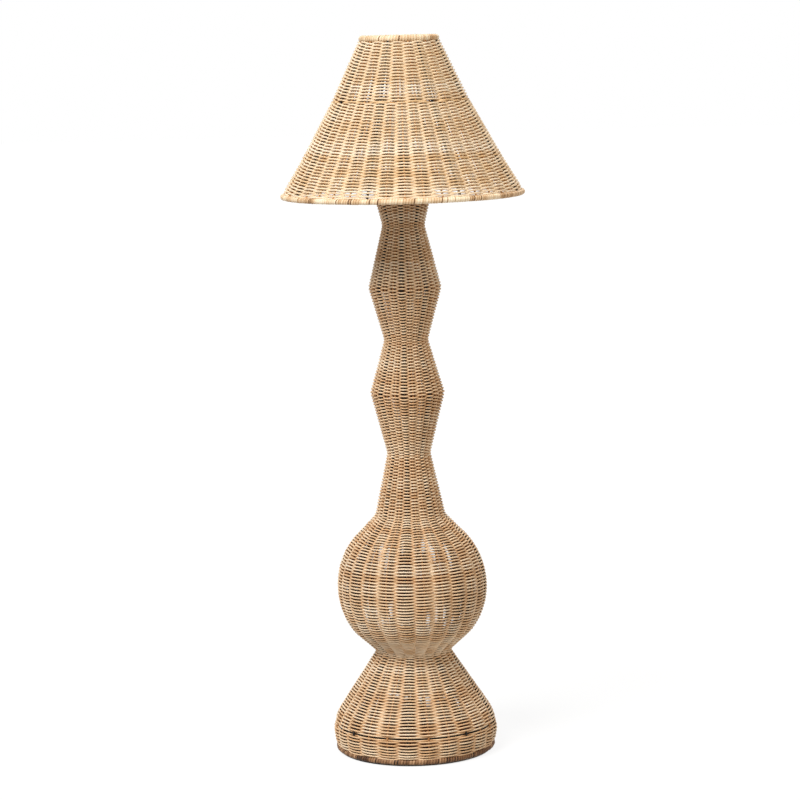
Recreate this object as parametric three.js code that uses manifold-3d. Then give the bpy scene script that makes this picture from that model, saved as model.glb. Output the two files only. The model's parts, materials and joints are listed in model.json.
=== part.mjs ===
// A floor lamp woven from round rattan cane over a welded wire cage, with a woven empire shade.
// Millimetres, +Z up. The origin is on the floor under the lamp's axis, and the front faces -Y.
import * as THREE from "three";
import { mergeVertices } from "three/addons/utils/BufferGeometryUtils.js";
import Module from "manifold-3d";

const wasm = await Module();
wasm.setup();

// Cane, wire and clearances
const cane_diameter = 3;
const bay_draw = 1.8;
const wire_diameter = 5;
const seat_gap = 0.3;
const weld_bite = 1.6;
const cut_overrun = 1;

// Outline of the woven body: each ring's rise from the one below it, and its outer radius
const base_foot = { rise: 8, r: 166 };
const base_bulge = { rise: 32, swell: 5.8 };
const base_slit = 3;
const base_shoulder_radius = 90;
const base_waist = { rise: 170, r: 78.5 };
const ball_middle = { rise: 137.5, r: 156.6 };
const neck_foot = { rise: 149.5, r: 73.8 };
const lower_waist = { rise: 129, r: 45.6 };
const lower_diamond = { rise: 126.5, r: 78 };
const middle_waist = { rise: 109, r: 46 };
const upper_diamond = { rise: 108.5, r: 76.3 };
const upper_waist = { rise: 128, r: 44.3 };
const collar_top = { rise: 105, r: 69.5 };

// Outline of the shade, whose foot hangs below the collar's top
const shade_foot = { drop: 38, r: 249.8 };
const shade_flare = { rise: 65, r: 209.9 };
const shade_bend = { rise: 122, r: 142 };
const shade_top = { rise: 129, r: 80.5 };

// Angles
const degree = Math.PI / 180;
const rib_count = 8;
const body_turn = -6 * degree;
const shade_turn = -17 * degree;
const base_shoulder_angle = 34 * degree;
const ball_low_angle = -38.5 * degree;
const ball_high_angle = 47 * degree;

// Stakes that the rows are woven on, among them the ribs
const body_stakes = 24;
const shade_stakes_above = 24;
const shade_stakes_below = 40;

// Bound edges
const base_binding_radius = 6.5;
const collar_binding_radius = 5;
const shade_foot_binding_radius = 5.8;
const shade_top_binding_radius = 7;

// Base
const cross_bar_width = 25;
const cross_bar_thickness = 4;
const weight_edge_gap = 16;
const weight_thickness = 12;
const weight_joint = 0.6;
const foot_count = 4;
const foot_radius = 12;
const foot_top_radius = 10;
const foot_set_in = 28;
const foot_stem_radius = 3;
const bolt_circle_radius = 62;
const bolt_radius = 3;
const bolt_reach = 9;
const bolt_head_width = 10;
const bolt_head_height = 4;

// Centre tube and its threaded ends
const tube_radius = 8;
const tube_wall = 2.7;
const nipple_radius = 5;
const nipple_bore_radius = 3.5;
const nipple_grip = 20;
const nipple_stand_out = 3;
const washer_radius = 12;
const washer_thickness = 1.5;
const nut_width = 17;
const nut_height = 5;
const lead_hole_radius = 4;
const lead_hole_height = 60;

// Lead outlet in the back of the base
const outlet_height = 24;
const outlet_flange_radius = 9;
const outlet_flange_thickness = 2;
const outlet_neck_radius = 6.5;
const outlet_bore_radius = 4.6;

// Top of the body
const top_plate_edge_gap = 3;
const top_plate_thickness = 2;

// Lampholder, E27 size
const holder_neck_radius = 8;
const holder_cap_height = 18;
const holder_neck_height = 5;
const holder_radius = 19.7;
const holder_skirt_height = 38;
const holder_wall = 2.7;
const holder_nipple_entry = 8;
const insert_height = 5;
const insert_set_down = 1.5;
const screw_shell_radius = 14.4;
const screw_shell_wall = 0.7;
const screw_shell_height = 24;
const tongue_radius = 4;
const tongue_thickness = 1.2;
const shade_ring_radius = 28.5;
const shade_ring_height = 7;
const shade_ring_flange = 2.5;
const shade_ring_wall = 3;
const lower_ring_height = 12;

// Shade fitting
const washer_plate_radius = 32;
const washer_plate_thickness = 2;
const arm_count = 4;
const arm_diameter = 4;
const arm_flat_reach = 36;

// Bulb, 60 mm globe
const bulb_cap_radius = 13.1;
const bulb_cap_height = 24;
const bulb_thread_depth = 0.8;
const bulb_thread_turns = 5;
const bulb_tip_radius = 4.5;
const bulb_tip_height = 2;
const bulb_collar_radius = 14.6;
const bulb_housing_height = 34;
const bulb_housing_radius = 27;
const bulb_globe_radius = 30;
const bulb_globe_wall = 1.4;

// Facets
const woven_facets = 24;
const small_facets = 16;
const bolt_facets = 12;
const wire_sides = 4;
const shoulder_steps = 3;
const ball_steps = 6;
const globe_steps = 5;
const binding_steps = 5;
const channel_steps = 4;

// Sizes that follow
const wire_radius = wire_diameter / 2;
const rib_inset = cane_diameter + seat_gap + wire_radius;
const weight_radius = base_foot.r - weight_edge_gap;
const foot_circle_radius = weight_radius - foot_set_in;
base_bulge.r = base_foot.r + base_bulge.swell;

// Gives each ring its height, from the floor or from the ring below it
function stack(bottom, rings) {
  let height = bottom;
  for (const ring of rings) {
    height += ring.rise;
    ring.z = height;
  }
}

const lower_rings = [base_foot, base_bulge, base_waist, ball_middle, neck_foot];
const upper_rings = [lower_waist, lower_diamond, middle_waist, upper_diamond, upper_waist, collar_top];
stack(0, [...lower_rings, ...upper_rings]);
shade_foot.z = collar_top.z - shade_foot.drop;
stack(shade_foot.z, [shade_flare, shade_bend, shade_top]);

// Materials
function material(colour, roughness, metalness = 0) {
  return new THREE.MeshStandardMaterial({ color: colour, roughness, metalness });
}

const body_cane = material(0xb8936a, 0.6);
const shade_cane = material(0xd6b78c, 0.6);
const binding_cane = material(0xc4a077, 0.5);
const black_steel = material(0x1b1a19, 0.5, 0.6);
const zinc_steel = material(0xb4b6b8, 0.35, 1);
const cast_iron = material(0x3c3c3e, 0.7, 0.8);
const rubber = material(0x1c1c1c, 0.9);
const black_plastic = material(0x202020, 0.45);
const ceramic = material(0xe8e4da, 0.4);
const brass = material(0xc9a24a, 0.3, 1);
const cap_metal = material(0xc7c9cc, 0.3, 1);
const white_plastic = material(0xf0efec, 0.4);
const opal = material(0xfbf8f0, 0.25);

// A closed three.js geometry as a solid that can be joined and cut
function solid(geometry) {
  const bare = geometry.index ? geometry.toNonIndexed() : geometry.clone();
  bare.deleteAttribute("normal");
  bare.deleteAttribute("uv");
  const merged = mergeVertices(bare, seat_gap / 1000);
  const corners = merged.index.array;
  const kept = [];
  for (let i = 0; i < corners.length; i += 3) {
    const [a, b, c] = corners.slice(i, i + 3);
    if (a !== b && b !== c && c !== a) kept.push(a, b, c);
  }
  const vertProperties = merged.attributes.position.array;
  return new wasm.Manifold(new wasm.Mesh({ numProp: 3, vertProperties, triVerts: new Uint32Array(kept) }));
}

function geometryOf(made) {
  const mesh = made.getMesh();
  const geometry = new THREE.BufferGeometry();
  geometry.setAttribute("position", new THREE.BufferAttribute(mesh.vertProperties, 3));
  geometry.setIndex(new THREE.BufferAttribute(mesh.triVerts, 1));
  geometry.computeVertexNormals();
  return geometry;
}

function joined(solids) {
  return solids.reduce((sum, next) => sum.add(next));
}

// Outlines in the half plane through the axis: x is the radius and y the height
const point = (r, z) => new THREE.Vector2(r, z);

// A closed outline turned about the axis, with a facet corner at the front
function revolved(outline, facets) {
  const loop = THREE.ShapeUtils.isClockWise(outline) ? outline.slice().reverse() : outline.slice();
  loop.push(loop[0].clone());
  return new THREE.LatheGeometry(loop, facets).rotateX(Math.PI / 2);
}

// Corners round the axis from the front, at the places of one or more outline points taken in turn
function ring(count, ...places) {
  return Array.from({ length: count }, (_, i) => {
    const { x: r, y: z } = places[i % places.length];
    const angle = (2 * Math.PI * i) / count;
    return new THREE.Vector3(r * Math.sin(angle), -r * Math.cos(angle), z);
  });
}

// A closed wall through rings that go once round its section, up outside and down inside. Each ring has its
// own count of corners, and the one with the nearer next corner moves on first.
function lofted(rings) {
  const corners = rings.flat();
  const triangles = [];
  let start = 0;
  rings.forEach((here, r) => {
    const next = rings[(r + 1) % rings.length];
    const next_start = (start + here.length) % corners.length;
    let [i, j] = [0, 0];
    while (i < here.length || j < next.length) {
      const [a, b] = [start + (i % here.length), next_start + (j % next.length)];
      if ((i + 1) * next.length <= (j + 1) * here.length) {
        i += 1;
        triangles.push(a, start + (i % here.length), b);
      } else {
        j += 1;
        triangles.push(a, next_start + (j % next.length), b);
      }
    }
    start += here.length;
  });
  const geometry = new THREE.BufferGeometry().setFromPoints(corners).setIndex(triangles);
  geometry.computeVertexNormals();
  return geometry;
}

function tube(inner, outer, bottom, top, facets) {
  return revolved([point(inner, bottom), point(outer, bottom), point(outer, top), point(inner, top)], facets);
}

function disc(radius, bottom, top, facets) {
  return new THREE.CylinderGeometry(radius, radius, top - bottom, facets)
    .rotateX(Math.PI / 2)
    .translate(0, 0, (bottom + top) / 2);
}

// The solid that a drill takes out, run a little past both faces
function drilled(radius, bottom, top) {
  return solid(disc(radius, bottom - cut_overrun, top + cut_overrun, bolt_facets));
}

function arc(centre, radius, from, to, steps) {
  const points = [];
  for (let i = 0; i <= steps; i++) {
    const angle = from + ((to - from) * i) / steps;
    points.push(point(centre.x + radius * Math.cos(angle), centre.y + radius * Math.sin(angle)));
  }
  return points;
}

// At each point of an outline, the direction that halves the corner on the side of the axis
function mitres(outline) {
  const normals = outline.slice(1).map((p, i) => {
    const along = p.clone().sub(outline[i]).normalize();
    return point(-along.y, along.x);
  });
  return outline.map((p, i) => {
    const after = normals[Math.min(i, normals.length - 1)];
    const direction = normals[Math.max(i - 1, 0)].clone().add(after).normalize();
    return { direction, stretch: 1 / direction.dot(after) };
  });
}

// The same outline moved towards the axis by a distance, with mitred corners
function inset(outline, distance) {
  return mitres(outline).map(({ direction, stretch }, i) =>
    outline[i].clone().addScaledVector(direction, distance * stretch),
  );
}

// Where a hoop sits inside each corner of a rib so that the two wires touch
function hoopSeats(rib) {
  const seat = wire_diameter - weld_bite;
  return mitres(rib).map(({ direction }, i) => rib[i].clone().addScaledVector(direction, seat));
}

// The outline with a length cut off its lower end
function shortened(outline, length) {
  const along = outline[1].clone().sub(outline[0]);
  if (along.length() > length) {
    return [outline[0].clone().addScaledVector(along.normalize(), length), ...outline.slice(1)];
  }
  return shortened(outline.slice(1), length - along.length());
}

function trimmed(outline, low, high) {
  return shortened(shortened(outline, low).reverse(), high).reverse();
}

// Where an outline has a given height
function atHeight(outline, height) {
  const i = Math.max(1, outline.findIndex((p) => p.y >= height));
  const [a, b] = [outline[i - 1], outline[i]];
  return a.clone().lerp(b, (height - a.y) / (b.y - a.y));
}

// A round wire that follows an outline in the half plane at the front
function wire(outline, radius, sides = wire_sides) {
  const positions = [];
  const triangles = [];
  const last = outline.length - 1;
  const directions = outline.slice(1).map((p, i) => p.clone().sub(outline[i]).normalize());
  outline.forEach((p, i) => {
    const before = directions[Math.max(i - 1, 0)];
    const after = directions[Math.min(i, last - 1)];
    const along = before.clone().add(after).normalize();
    const stretch = 1 / along.dot(after);
    for (let k = 0; k < sides; k++) {
      const turn = (2 * Math.PI * k) / sides;
      const out = radius * Math.cos(turn) * stretch;
      positions.push(radius * Math.sin(turn), -(p.x + along.y * out), p.y - along.x * out);
    }
  });
  for (let i = 0; i < last; i++) {
    for (let k = 0; k < sides; k++) {
      const next = (k + 1) % sides;
      const [a, b, c, d] = [i * sides + k, i * sides + next, (i + 1) * sides + next, (i + 1) * sides + k];
      triangles.push(a, b, c, a, c, d);
    }
  }
  for (let k = 1; k < sides - 1; k++) {
    triangles.push(0, k + 1, k);
    triangles.push(last * sides, last * sides + k, last * sides + k + 1);
  }
  const geometry = new THREE.BufferGeometry();
  geometry.setAttribute("position", new THREE.Float32BufferAttribute(positions, 3));
  geometry.setIndex(triangles);
  return geometry;
}

// A wire hoop, square in section so that its flat side lies against the ribs
function hoop(radius, height, facets) {
  const half = wire_radius * Math.SQRT1_2;
  return tube(radius - half, radius + half, height - half, height + half, facets);
}

// A hoop whose straight sides, not its corners, meet the ribs
function innerHoop(radius, height, facets) {
  const half_side = Math.PI / facets;
  return hoop(radius / Math.cos(half_side), height, facets).rotateZ(half_side);
}

function spokes(count, make) {
  return Array.from({ length: count }, (_, i) => make().rotateZ((2 * Math.PI * i) / count));
}

// The woven body's outline from the foot ring to the collar, as one run of points and where each section ends.
// The slit between skirt and bell is a step up the shoulder, and a hoop of the cage stands behind it.
function bodyOutline() {
  const ball_centre = point(0, ball_middle.z);
  const bulge_centre = point(base_bulge.r - base_shoulder_radius, base_bulge.z);
  const shoulder = arc(bulge_centre, base_shoulder_radius, 0, base_shoulder_angle, shoulder_steps);
  const sections = {
    base_skirt_weave: [point(base_foot.r, base_foot.z), shoulder[0]],
    base_weave: shoulder.slice(1),
    ball_weave: [
      point(base_waist.r, base_waist.z),
      ...arc(ball_centre, ball_middle.r, ball_low_angle, ball_high_angle, ball_steps),
    ],
    neck_weave: [point(neck_foot.r, neck_foot.z)],
    lower_diamond_weave: [point(lower_waist.r, lower_waist.z), point(lower_diamond.r, lower_diamond.z)],
    upper_diamond_weave: [point(middle_waist.r, middle_waist.z), point(upper_diamond.r, upper_diamond.z)],
    collar_weave: [point(upper_waist.r, upper_waist.z)],
  };
  const outline = [...Object.values(sections).flat(), point(collar_top.r, collar_top.z)];
  const spans = {};
  let start = 0;
  for (const [name, points] of Object.entries(sections)) {
    spans[name] = [start, start + points.length];
    start += points.length;
  }
  return { outline, spans };
}

const body = bodyOutline();
const body_counts = body.outline.map(() => body_stakes);
const shade_outline = [shade_foot, shade_flare, shade_bend, shade_top].map((ring) => point(ring.r, ring.z));

// One section of the woven wall, mitred where it meets the next: a cane thick over each stake, and drawn in
// from outside in the bay between two stakes. Each point of the outline has its count of stakes.
function weave(outline, [first, last], low_cut, high_cut, stakes) {
  const skin = (depth) => trimmed(inset(outline, depth).slice(first, last + 1), low_cut, high_cut);
  const [crests, hollows, inner] = [0, bay_draw, cane_diameter].map(skin);
  const counts = stakes.slice(first, last + 1);
  const outside = counts.map((count, i) => {
    const bay = point(hollows[i].x * Math.cos(Math.PI / count), hollows[i].y);
    return ring(2 * count, crests[i], bay);
  });
  const inside = counts.map((count, i) => ring(count, inner[i]));
  return lofted([...outside, ...inside.reverse()]);
}

// An edge bound with split cane: a channel round the end ring, open where the ribs run in
function binding(centre, towards, radius, facets) {
  const along = towards.clone().sub(centre).angle();
  const slot = wire_radius + seat_gap;
  const lip = Math.asin(slot / radius);
  const outer = arc(centre, radius, along + lip, along + 2 * Math.PI - lip, binding_steps);
  const inner = arc(centre, slot, along - Math.PI / 2, along - (3 * Math.PI) / 2, channel_steps);
  return revolved([...outer, ...inner], facets);
}

// Welded cage of the body: eight ribs, the hoops inside them, and a cross of flat bar at each end
const rib_line = inset(body.outline, rib_inset);
const hoop_line = hoopSeats(rib_line);
const foot_ring = rib_line[0];
const collar_ring = rib_line[rib_line.length - 1];

// Heights that follow, from the cross bars at the foot up to the bulb
const bar_bottom = foot_ring.y + base_binding_radius + seat_gap;
const bar_top = bar_bottom + cross_bar_thickness;
const weight_bottom = bar_top + seat_gap;
const weight_top = weight_bottom + weight_thickness;
const top_bar_top = collar_ring.y - collar_binding_radius - seat_gap;
const top_bar_bottom = top_bar_top - cross_bar_thickness;
const plate_bottom = top_bar_top + seat_gap;
const plate_top = plate_bottom + top_plate_thickness;
const top_nut_bottom = plate_top + washer_thickness + 2 * seat_gap;
const holder_bottom = top_nut_bottom + nut_height + seat_gap;
const skirt_bottom = holder_bottom + holder_cap_height + seat_gap;
const skirt_top = skirt_bottom + holder_skirt_height;
const skirt_bore_radius = holder_radius - holder_wall;
const insert_bottom = skirt_bottom + insert_set_down;
const insert_top = insert_bottom + insert_height;
const bulb_bottom = insert_top + tongue_thickness + 2 * seat_gap;
const bulb_cap_bottom = bulb_bottom + bulb_tip_height + seat_gap;
const bulb_cap_top = bulb_cap_bottom + bulb_cap_height;
const bulb_housing_bottom = bulb_cap_top + seat_gap;
const bulb_housing_top = bulb_housing_bottom + bulb_housing_height;
const lower_ring_bottom = skirt_bottom + lower_ring_height;
const lower_ring_top = lower_ring_bottom + shade_ring_height;
const washer_plate_bottom = lower_ring_top + seat_gap;
const upper_ring_bottom = washer_plate_bottom + washer_plate_thickness + seat_gap;
const upper_ring_top = upper_ring_bottom + shade_ring_height;
const top_plate_radius = collar_ring.x - collar_binding_radius - top_plate_edge_gap;
const nipple_hole_radius = nipple_radius + seat_gap;
const bolt_hole_radius = bolt_radius + seat_gap;

function crossBars(bottom, top) {
  const middle = (bottom + top) / 2;
  const span = 2 * atHeight(rib_line, middle).x;
  const bar = () => new THREE.BoxGeometry(cross_bar_width, span, top - bottom).translate(0, 0, middle);
  return solid(bar()).add(solid(bar().rotateZ(Math.PI / 2)));
}

// Upright holes on a circle, one at each end of the cross
function holesRound(circle, radius, bottom, top) {
  const hole = () => disc(radius, bottom, top, bolt_facets).translate(0, -circle, 0);
  return joined(spokes(foot_count, hole).map(solid));
}

function bodyFrame() {
  const ribs = spokes(rib_count, () => wire(rib_line, wire_radius)).map(solid);
  const corner = (ring) => hoop_line[body.outline.findIndex((p) => p.y === ring.z)];
  const equator = atHeight(hoop_line, ball_middle.z);
  const foot_hoop = hoop(foot_ring.x, foot_ring.y, woven_facets);
  const collar_hoop = hoop(collar_ring.x, collar_ring.y, 2 * rib_count);
  const slit_hoop = hoop_line[body.spans.base_weave[0]];
  const wide = [slit_hoop, equator].map((p) => innerHoop(p.x, p.y, woven_facets));
  const narrow = [base_waist, neck_foot, lower_waist, lower_diamond, middle_waist, upper_diamond, upper_waist]
    .map(corner)
    .map((p) => innerHoop(p.x, p.y, 2 * rib_count));
  const bars = crossBars(bar_bottom, bar_top).add(crossBars(top_bar_bottom, top_bar_top));
  const below = bar_bottom - cut_overrun;
  const above = bar_top + cut_overrun;
  return joined([...ribs, ...[foot_hoop, collar_hoop, ...wide, ...narrow].map(solid), bars])
    .subtract(drilled(nipple_hole_radius, bar_bottom, bar_top))
    .subtract(drilled(nipple_hole_radius, top_bar_bottom, top_bar_top))
    .subtract(holesRound(foot_circle_radius, foot_stem_radius + seat_gap, below, above))
    .subtract(holesRound(bolt_circle_radius, bolt_hole_radius, below, above))
    .asOriginal()
    .simplify(seat_gap / 10);
}

// One of the four cast quadrants that keep the lamp upright, with a blind hole for its bolt
function weightQuadrant() {
  const reach = weight_radius + cut_overrun;
  const middle = (weight_bottom + weight_top) / 2;
  const corner = new THREE.BoxGeometry(reach, reach, weight_thickness + 2 * cut_overrun)
    .translate((reach + weight_joint) / 2, (reach + weight_joint) / 2, middle)
    .rotateZ(-135 * degree);
  const bolt_hole_top = bar_top + bolt_reach + seat_gap;
  return solid(tube(nipple_hole_radius, weight_radius, weight_bottom, weight_top, woven_facets))
    .intersect(solid(corner))
    .subtract(holesRound(bolt_circle_radius, bolt_hole_radius, weight_bottom - cut_overrun, bolt_hole_top));
}

function foot() {
  const pad_top = bar_bottom - seat_gap;
  return revolved(
    [
      point(0, 0),
      point(foot_radius, 0),
      point(foot_radius, pad_top / 2),
      point(foot_top_radius, pad_top),
      point(foot_stem_radius, pad_top),
      point(foot_stem_radius, bar_top - seat_gap),
      point(0, bar_top - seat_gap),
    ],
    bolt_facets,
  );
}

function hexagon(width, bottom, top) {
  return disc(width / Math.sqrt(3), bottom, top, 6);
}

function bolt() {
  const head_top = bar_bottom - seat_gap;
  return solid(hexagon(bolt_head_width, head_top - bolt_head_height, head_top))
    .add(solid(disc(bolt_radius, head_top - seat_gap, bar_top + bolt_reach, bolt_facets)));
}

function nut(bottom) {
  const top = bottom + nut_height;
  return solid(hexagon(nut_width, bottom, top)).subtract(drilled(nipple_hole_radius, bottom, top));
}

function flatWasher(bottom) {
  return tube(nipple_hole_radius, washer_radius, bottom, bottom + washer_thickness, bolt_facets);
}

// Steel tube up the middle, with a side hole where the lead leaves for the outlet
const tube_bottom = weight_top + seat_gap;
const tube_top = top_bar_bottom - seat_gap;
const tube_bore_radius = tube_radius - tube_wall;
const outlet_bay = Math.PI + Math.PI / rib_count;

function centreTube() {
  const pipe = tube(tube_bore_radius, tube_radius, tube_bottom, tube_top, bolt_facets);
  const hole = disc(lead_hole_radius, 0, tube_radius + cut_overrun, bolt_facets)
    .rotateX(Math.PI / 2)
    .translate(0, 0, lead_hole_height)
    .rotateZ(outlet_bay);
  return solid(pipe).subtract(solid(hole));
}

function nipple(bottom, top) {
  return tube(nipple_bore_radius, nipple_radius, bottom, top, bolt_facets);
}

// Outlet bush for the lead, square to the wall of the base in the middle of a bay, where the rim of its
// flange meets the slopes on both sides
const wall_point = atHeight(body.outline, outlet_height);
const wall_flat = wall_point.x * Math.cos(Math.PI / body_stakes);
const bay_half = wall_point.x * Math.sin(Math.PI / body_stakes);
const wall_lean = Math.atan2(base_bulge.r - base_foot.r, base_bulge.z - base_foot.z);

function outletSolid(outline) {
  return revolved(outline, small_facets)
    .rotateX(Math.PI / 2 + wall_lean)
    .translate(0, -wall_flat, wall_point.y)
    .rotateZ(outlet_bay);
}

function leadOutlet() {
  const outside = seat_gap - bay_draw * (1 - outlet_flange_radius / bay_half);
  const inside = -(cane_diameter + seat_gap);
  return outletSolid([
    point(outlet_bore_radius, inside - outlet_flange_thickness),
    point(outlet_flange_radius, inside - outlet_flange_thickness),
    point(outlet_flange_radius, inside),
    point(outlet_neck_radius, inside),
    point(outlet_neck_radius, outside),
    point(outlet_flange_radius, outside),
    point(outlet_flange_radius - outlet_flange_thickness, outside + outlet_flange_thickness),
    point(outlet_bore_radius, outside + outlet_flange_thickness),
  ]);
}

function skirtWeave() {
  const reach = cane_diameter + 2 * cut_overrun;
  const hole_radius = outlet_neck_radius + seat_gap;
  const sides = [point(0, -reach), point(hole_radius, -reach), point(hole_radius, reach), point(0, reach)];
  const hole = outletSolid(sides);
  const low_cut = base_binding_radius + seat_gap;
  const wall = weave(body.outline, body.spans.base_skirt_weave, low_cut, base_slit / 2, body_counts);
  return solid(wall).subtract(solid(hole));
}

// Lampholder
function holderCap() {
  const wall = holder_wall;
  const shoulder = holder_bottom + holder_neck_height;
  const top = holder_bottom + holder_cap_height;
  const belly = (shoulder + top) / 2;
  return revolved(
    [
      point(nipple_hole_radius, holder_bottom),
      point(holder_neck_radius, holder_bottom),
      point(holder_neck_radius, shoulder),
      point(holder_radius - wall, belly),
      point(holder_radius, top),
      point(holder_radius - wall, top),
      point(holder_radius - 2 * wall, belly + wall / 2),
      point(nipple_hole_radius, shoulder + wall),
    ],
    small_facets,
  );
}

function holderSkirt() {
  const lip = skirt_top - holder_wall;
  return revolved(
    [
      point(skirt_bore_radius, skirt_bottom),
      point(holder_radius, skirt_bottom),
      point(holder_radius, skirt_top - holder_wall / 2),
      point(holder_radius - holder_wall / 2, skirt_top),
      point(skirt_bore_radius - holder_wall / 3, skirt_top),
      point(skirt_bore_radius - holder_wall / 3, lip),
      point(skirt_bore_radius, lip),
    ],
    small_facets,
  );
}

function screwShell() {
  const bottom = insert_top + seat_gap;
  const bore = screw_shell_radius - screw_shell_wall;
  return tube(bore, screw_shell_radius, bottom, bottom + screw_shell_height, small_facets);
}

// Shade ring whose flange lies at one end and whose sleeve runs to the other
function shadeRing(flange_end, sleeve_end) {
  const bore = holder_radius + 2 * seat_gap;
  const grip = bore + shade_ring_wall;
  const flange_back = flange_end + Math.sign(sleeve_end - flange_end) * shade_ring_flange;
  return revolved(
    [
      point(bore, flange_end),
      point(shade_ring_radius, flange_end),
      point(shade_ring_radius, flange_back),
      point(grip, flange_back),
      point(grip, sleeve_end),
      point(bore, sleeve_end),
    ],
    small_facets,
  );
}

// Shade
const shade_rib_line = inset(shade_outline, rib_inset);
const shade_hoop_line = hoopSeats(shade_rib_line);
const shade_foot_ring = shade_rib_line[0];
const shade_top_ring = shade_rib_line[shade_rib_line.length - 1];
const shade_bend_ring = shade_hoop_line[shade_outline.findIndex((p) => p.y === shade_bend.z)];

// The shade's wall, woven on more stakes below the bend than above it, which join over the height of a row
function shadeWeave() {
  const low_cut = shade_foot_binding_radius + seat_gap;
  const high_cut = shade_top_binding_radius + seat_gap;
  const [foot, flare, bend, top] = shade_outline;
  const above_bend = atHeight(shade_outline, bend.y + cane_diameter);
  const outline = [foot, flare, bend, above_bend, top];
  const stakes = outline.map((p) => (p.y > bend.y ? shade_stakes_above : shade_stakes_below));
  return weave(outline, [0, outline.length - 1], low_cut, high_cut, stakes);
}

function shadeFrame() {
  const ribs = spokes(rib_count, () => wire(shade_rib_line, wire_radius)).map(solid);
  const hoops = [
    hoop(shade_foot_ring.x, shade_foot_ring.y, woven_facets),
    innerHoop(shade_bend_ring.x, shade_bend_ring.y, woven_facets),
    hoop(shade_top_ring.x, shade_top_ring.y, 2 * rib_count),
  ];
  return joined([...ribs, ...hoops.map(solid)]);
}

// Fitting that hangs the shade on the lampholder: a washer plate and four arms up to the middle hoop
function shadeSpider() {
  const plate_top = washer_plate_bottom + washer_plate_thickness;
  const plate_middle = (washer_plate_bottom + plate_top) / 2;
  const arm_radius = arm_diameter / 2;
  const start = point(washer_plate_radius - arm_radius, plate_middle);
  const elbow = point(arm_flat_reach, plate_middle);
  const rise = shade_bend_ring.clone().sub(elbow);
  const end = elbow.clone().addScaledVector(rise, 1 - (wire_radius + seat_gap) / rise.length());
  const bore = holder_radius + 2 * seat_gap;
  const plate = tube(bore, washer_plate_radius, washer_plate_bottom, plate_top, woven_facets);
  const arms = spokes(arm_count, () => wire([start, elbow, end], arm_radius)).map(solid);
  return joined([solid(plate), ...arms]);
}

// Bulb
function bulbCap() {
  const outer = [point(bulb_cap_radius - bulb_thread_depth, bulb_cap_bottom)];
  const pitch = bulb_cap_height / bulb_thread_turns;
  for (let i = 0; i < bulb_thread_turns; i++) {
    const foot_of_turn = bulb_cap_bottom + i * pitch;
    outer.push(point(bulb_cap_radius, foot_of_turn + pitch / 2));
    outer.push(point(bulb_cap_radius - bulb_thread_depth, foot_of_turn + pitch));
  }
  return revolved([point(0, bulb_cap_bottom), ...outer, point(0, bulb_cap_top)], small_facets);
}

function bulbHousing() {
  const neck = bulb_housing_bottom + bulb_housing_height / 3;
  return revolved(
    [
      point(0, bulb_housing_bottom),
      point(bulb_collar_radius, bulb_housing_bottom),
      point(bulb_collar_radius, neck),
      point(bulb_housing_radius, bulb_housing_top),
      point(0, bulb_housing_top),
    ],
    small_facets,
  );
}

function bulbGlobe() {
  const edge_angle = Math.acos(bulb_housing_radius / bulb_globe_radius);
  const bottom = bulb_housing_top + seat_gap;
  const centre = point(0, bottom + bulb_globe_radius * Math.sin(edge_angle));
  const skin = arc(centre, bulb_globe_radius, -edge_angle, Math.PI / 2, globe_steps);
  const inner_radius = bulb_globe_radius - bulb_globe_wall;
  const inner_edge = Math.asin((centre.y - bottom) / inner_radius);
  const lining = arc(centre, inner_radius, Math.PI / 2, -inner_edge, globe_steps);
  return revolved([...skin, ...lining], small_facets);
}

// The lamp
const lamp = new THREE.Group();
const body_group = new THREE.Group();
body_group.rotation.z = body_turn;
const shade_group = new THREE.Group();
shade_group.rotation.z = shade_turn;
lamp.add(body_group, shade_group);

function add(group, name, shape, finish) {
  const geometry = shape.isBufferGeometry ? shape : geometryOf(shape);
  const mesh = new THREE.Mesh(geometry, finish);
  mesh.name = name;
  group.add(mesh);
  return mesh;
}

function addSection(name, low_cut, high_cut) {
  add(body_group, name, weave(body.outline, body.spans[name], low_cut, high_cut, body_counts), body_cane);
}

add(body_group, "base_skirt_weave", skirtWeave(), body_cane);
addSection("base_weave", base_slit / 2, seat_gap / 2);
for (const name of ["ball_weave", "neck_weave", "lower_diamond_weave", "upper_diamond_weave"]) {
  addSection(name, seat_gap / 2, seat_gap / 2);
}
addSection("collar_weave", seat_gap / 2, collar_binding_radius + seat_gap);
const base_edge = binding(foot_ring, rib_line[1], base_binding_radius, woven_facets);
add(body_group, "base_binding", base_edge, binding_cane);
const collar_edge = binding(collar_ring, rib_line[rib_line.length - 2], collar_binding_radius, 2 * rib_count);
add(body_group, "collar_binding", collar_edge, binding_cane);
add(body_group, "body_frame", bodyFrame(), black_steel);

for (let i = 0; i < foot_count; i++) {
  const turn = (2 * Math.PI * i) / foot_count;
  add(body_group, `base_weight_${i + 1}`, geometryOf(weightQuadrant()).rotateZ(turn), cast_iron);
  const rubber_foot = foot().translate(0, -foot_circle_radius, 0).rotateZ(turn);
  add(body_group, `foot_${i + 1}`, rubber_foot, rubber);
  const weight_bolt = geometryOf(bolt()).translate(0, -bolt_circle_radius, 0).rotateZ(turn);
  add(body_group, `weight_bolt_${i + 1}`, weight_bolt, zinc_steel);
}
const low_washer_bottom = bar_bottom - seat_gap - washer_thickness;
const low_nut_bottom = low_washer_bottom - seat_gap - nut_height;
const low_nipple_bottom = low_nut_bottom - nipple_stand_out;
add(body_group, "lower_nipple", nipple(low_nipple_bottom, tube_bottom + nipple_grip), zinc_steel);
add(body_group, "lower_washer", flatWasher(low_washer_bottom), zinc_steel);
add(body_group, "lower_nut", nut(low_nut_bottom), zinc_steel);
add(body_group, "centre_tube", centreTube(), black_steel);
add(body_group, "lead_outlet", leadOutlet(), black_plastic);
const high_nipple_top = holder_bottom + holder_nipple_entry;
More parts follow.
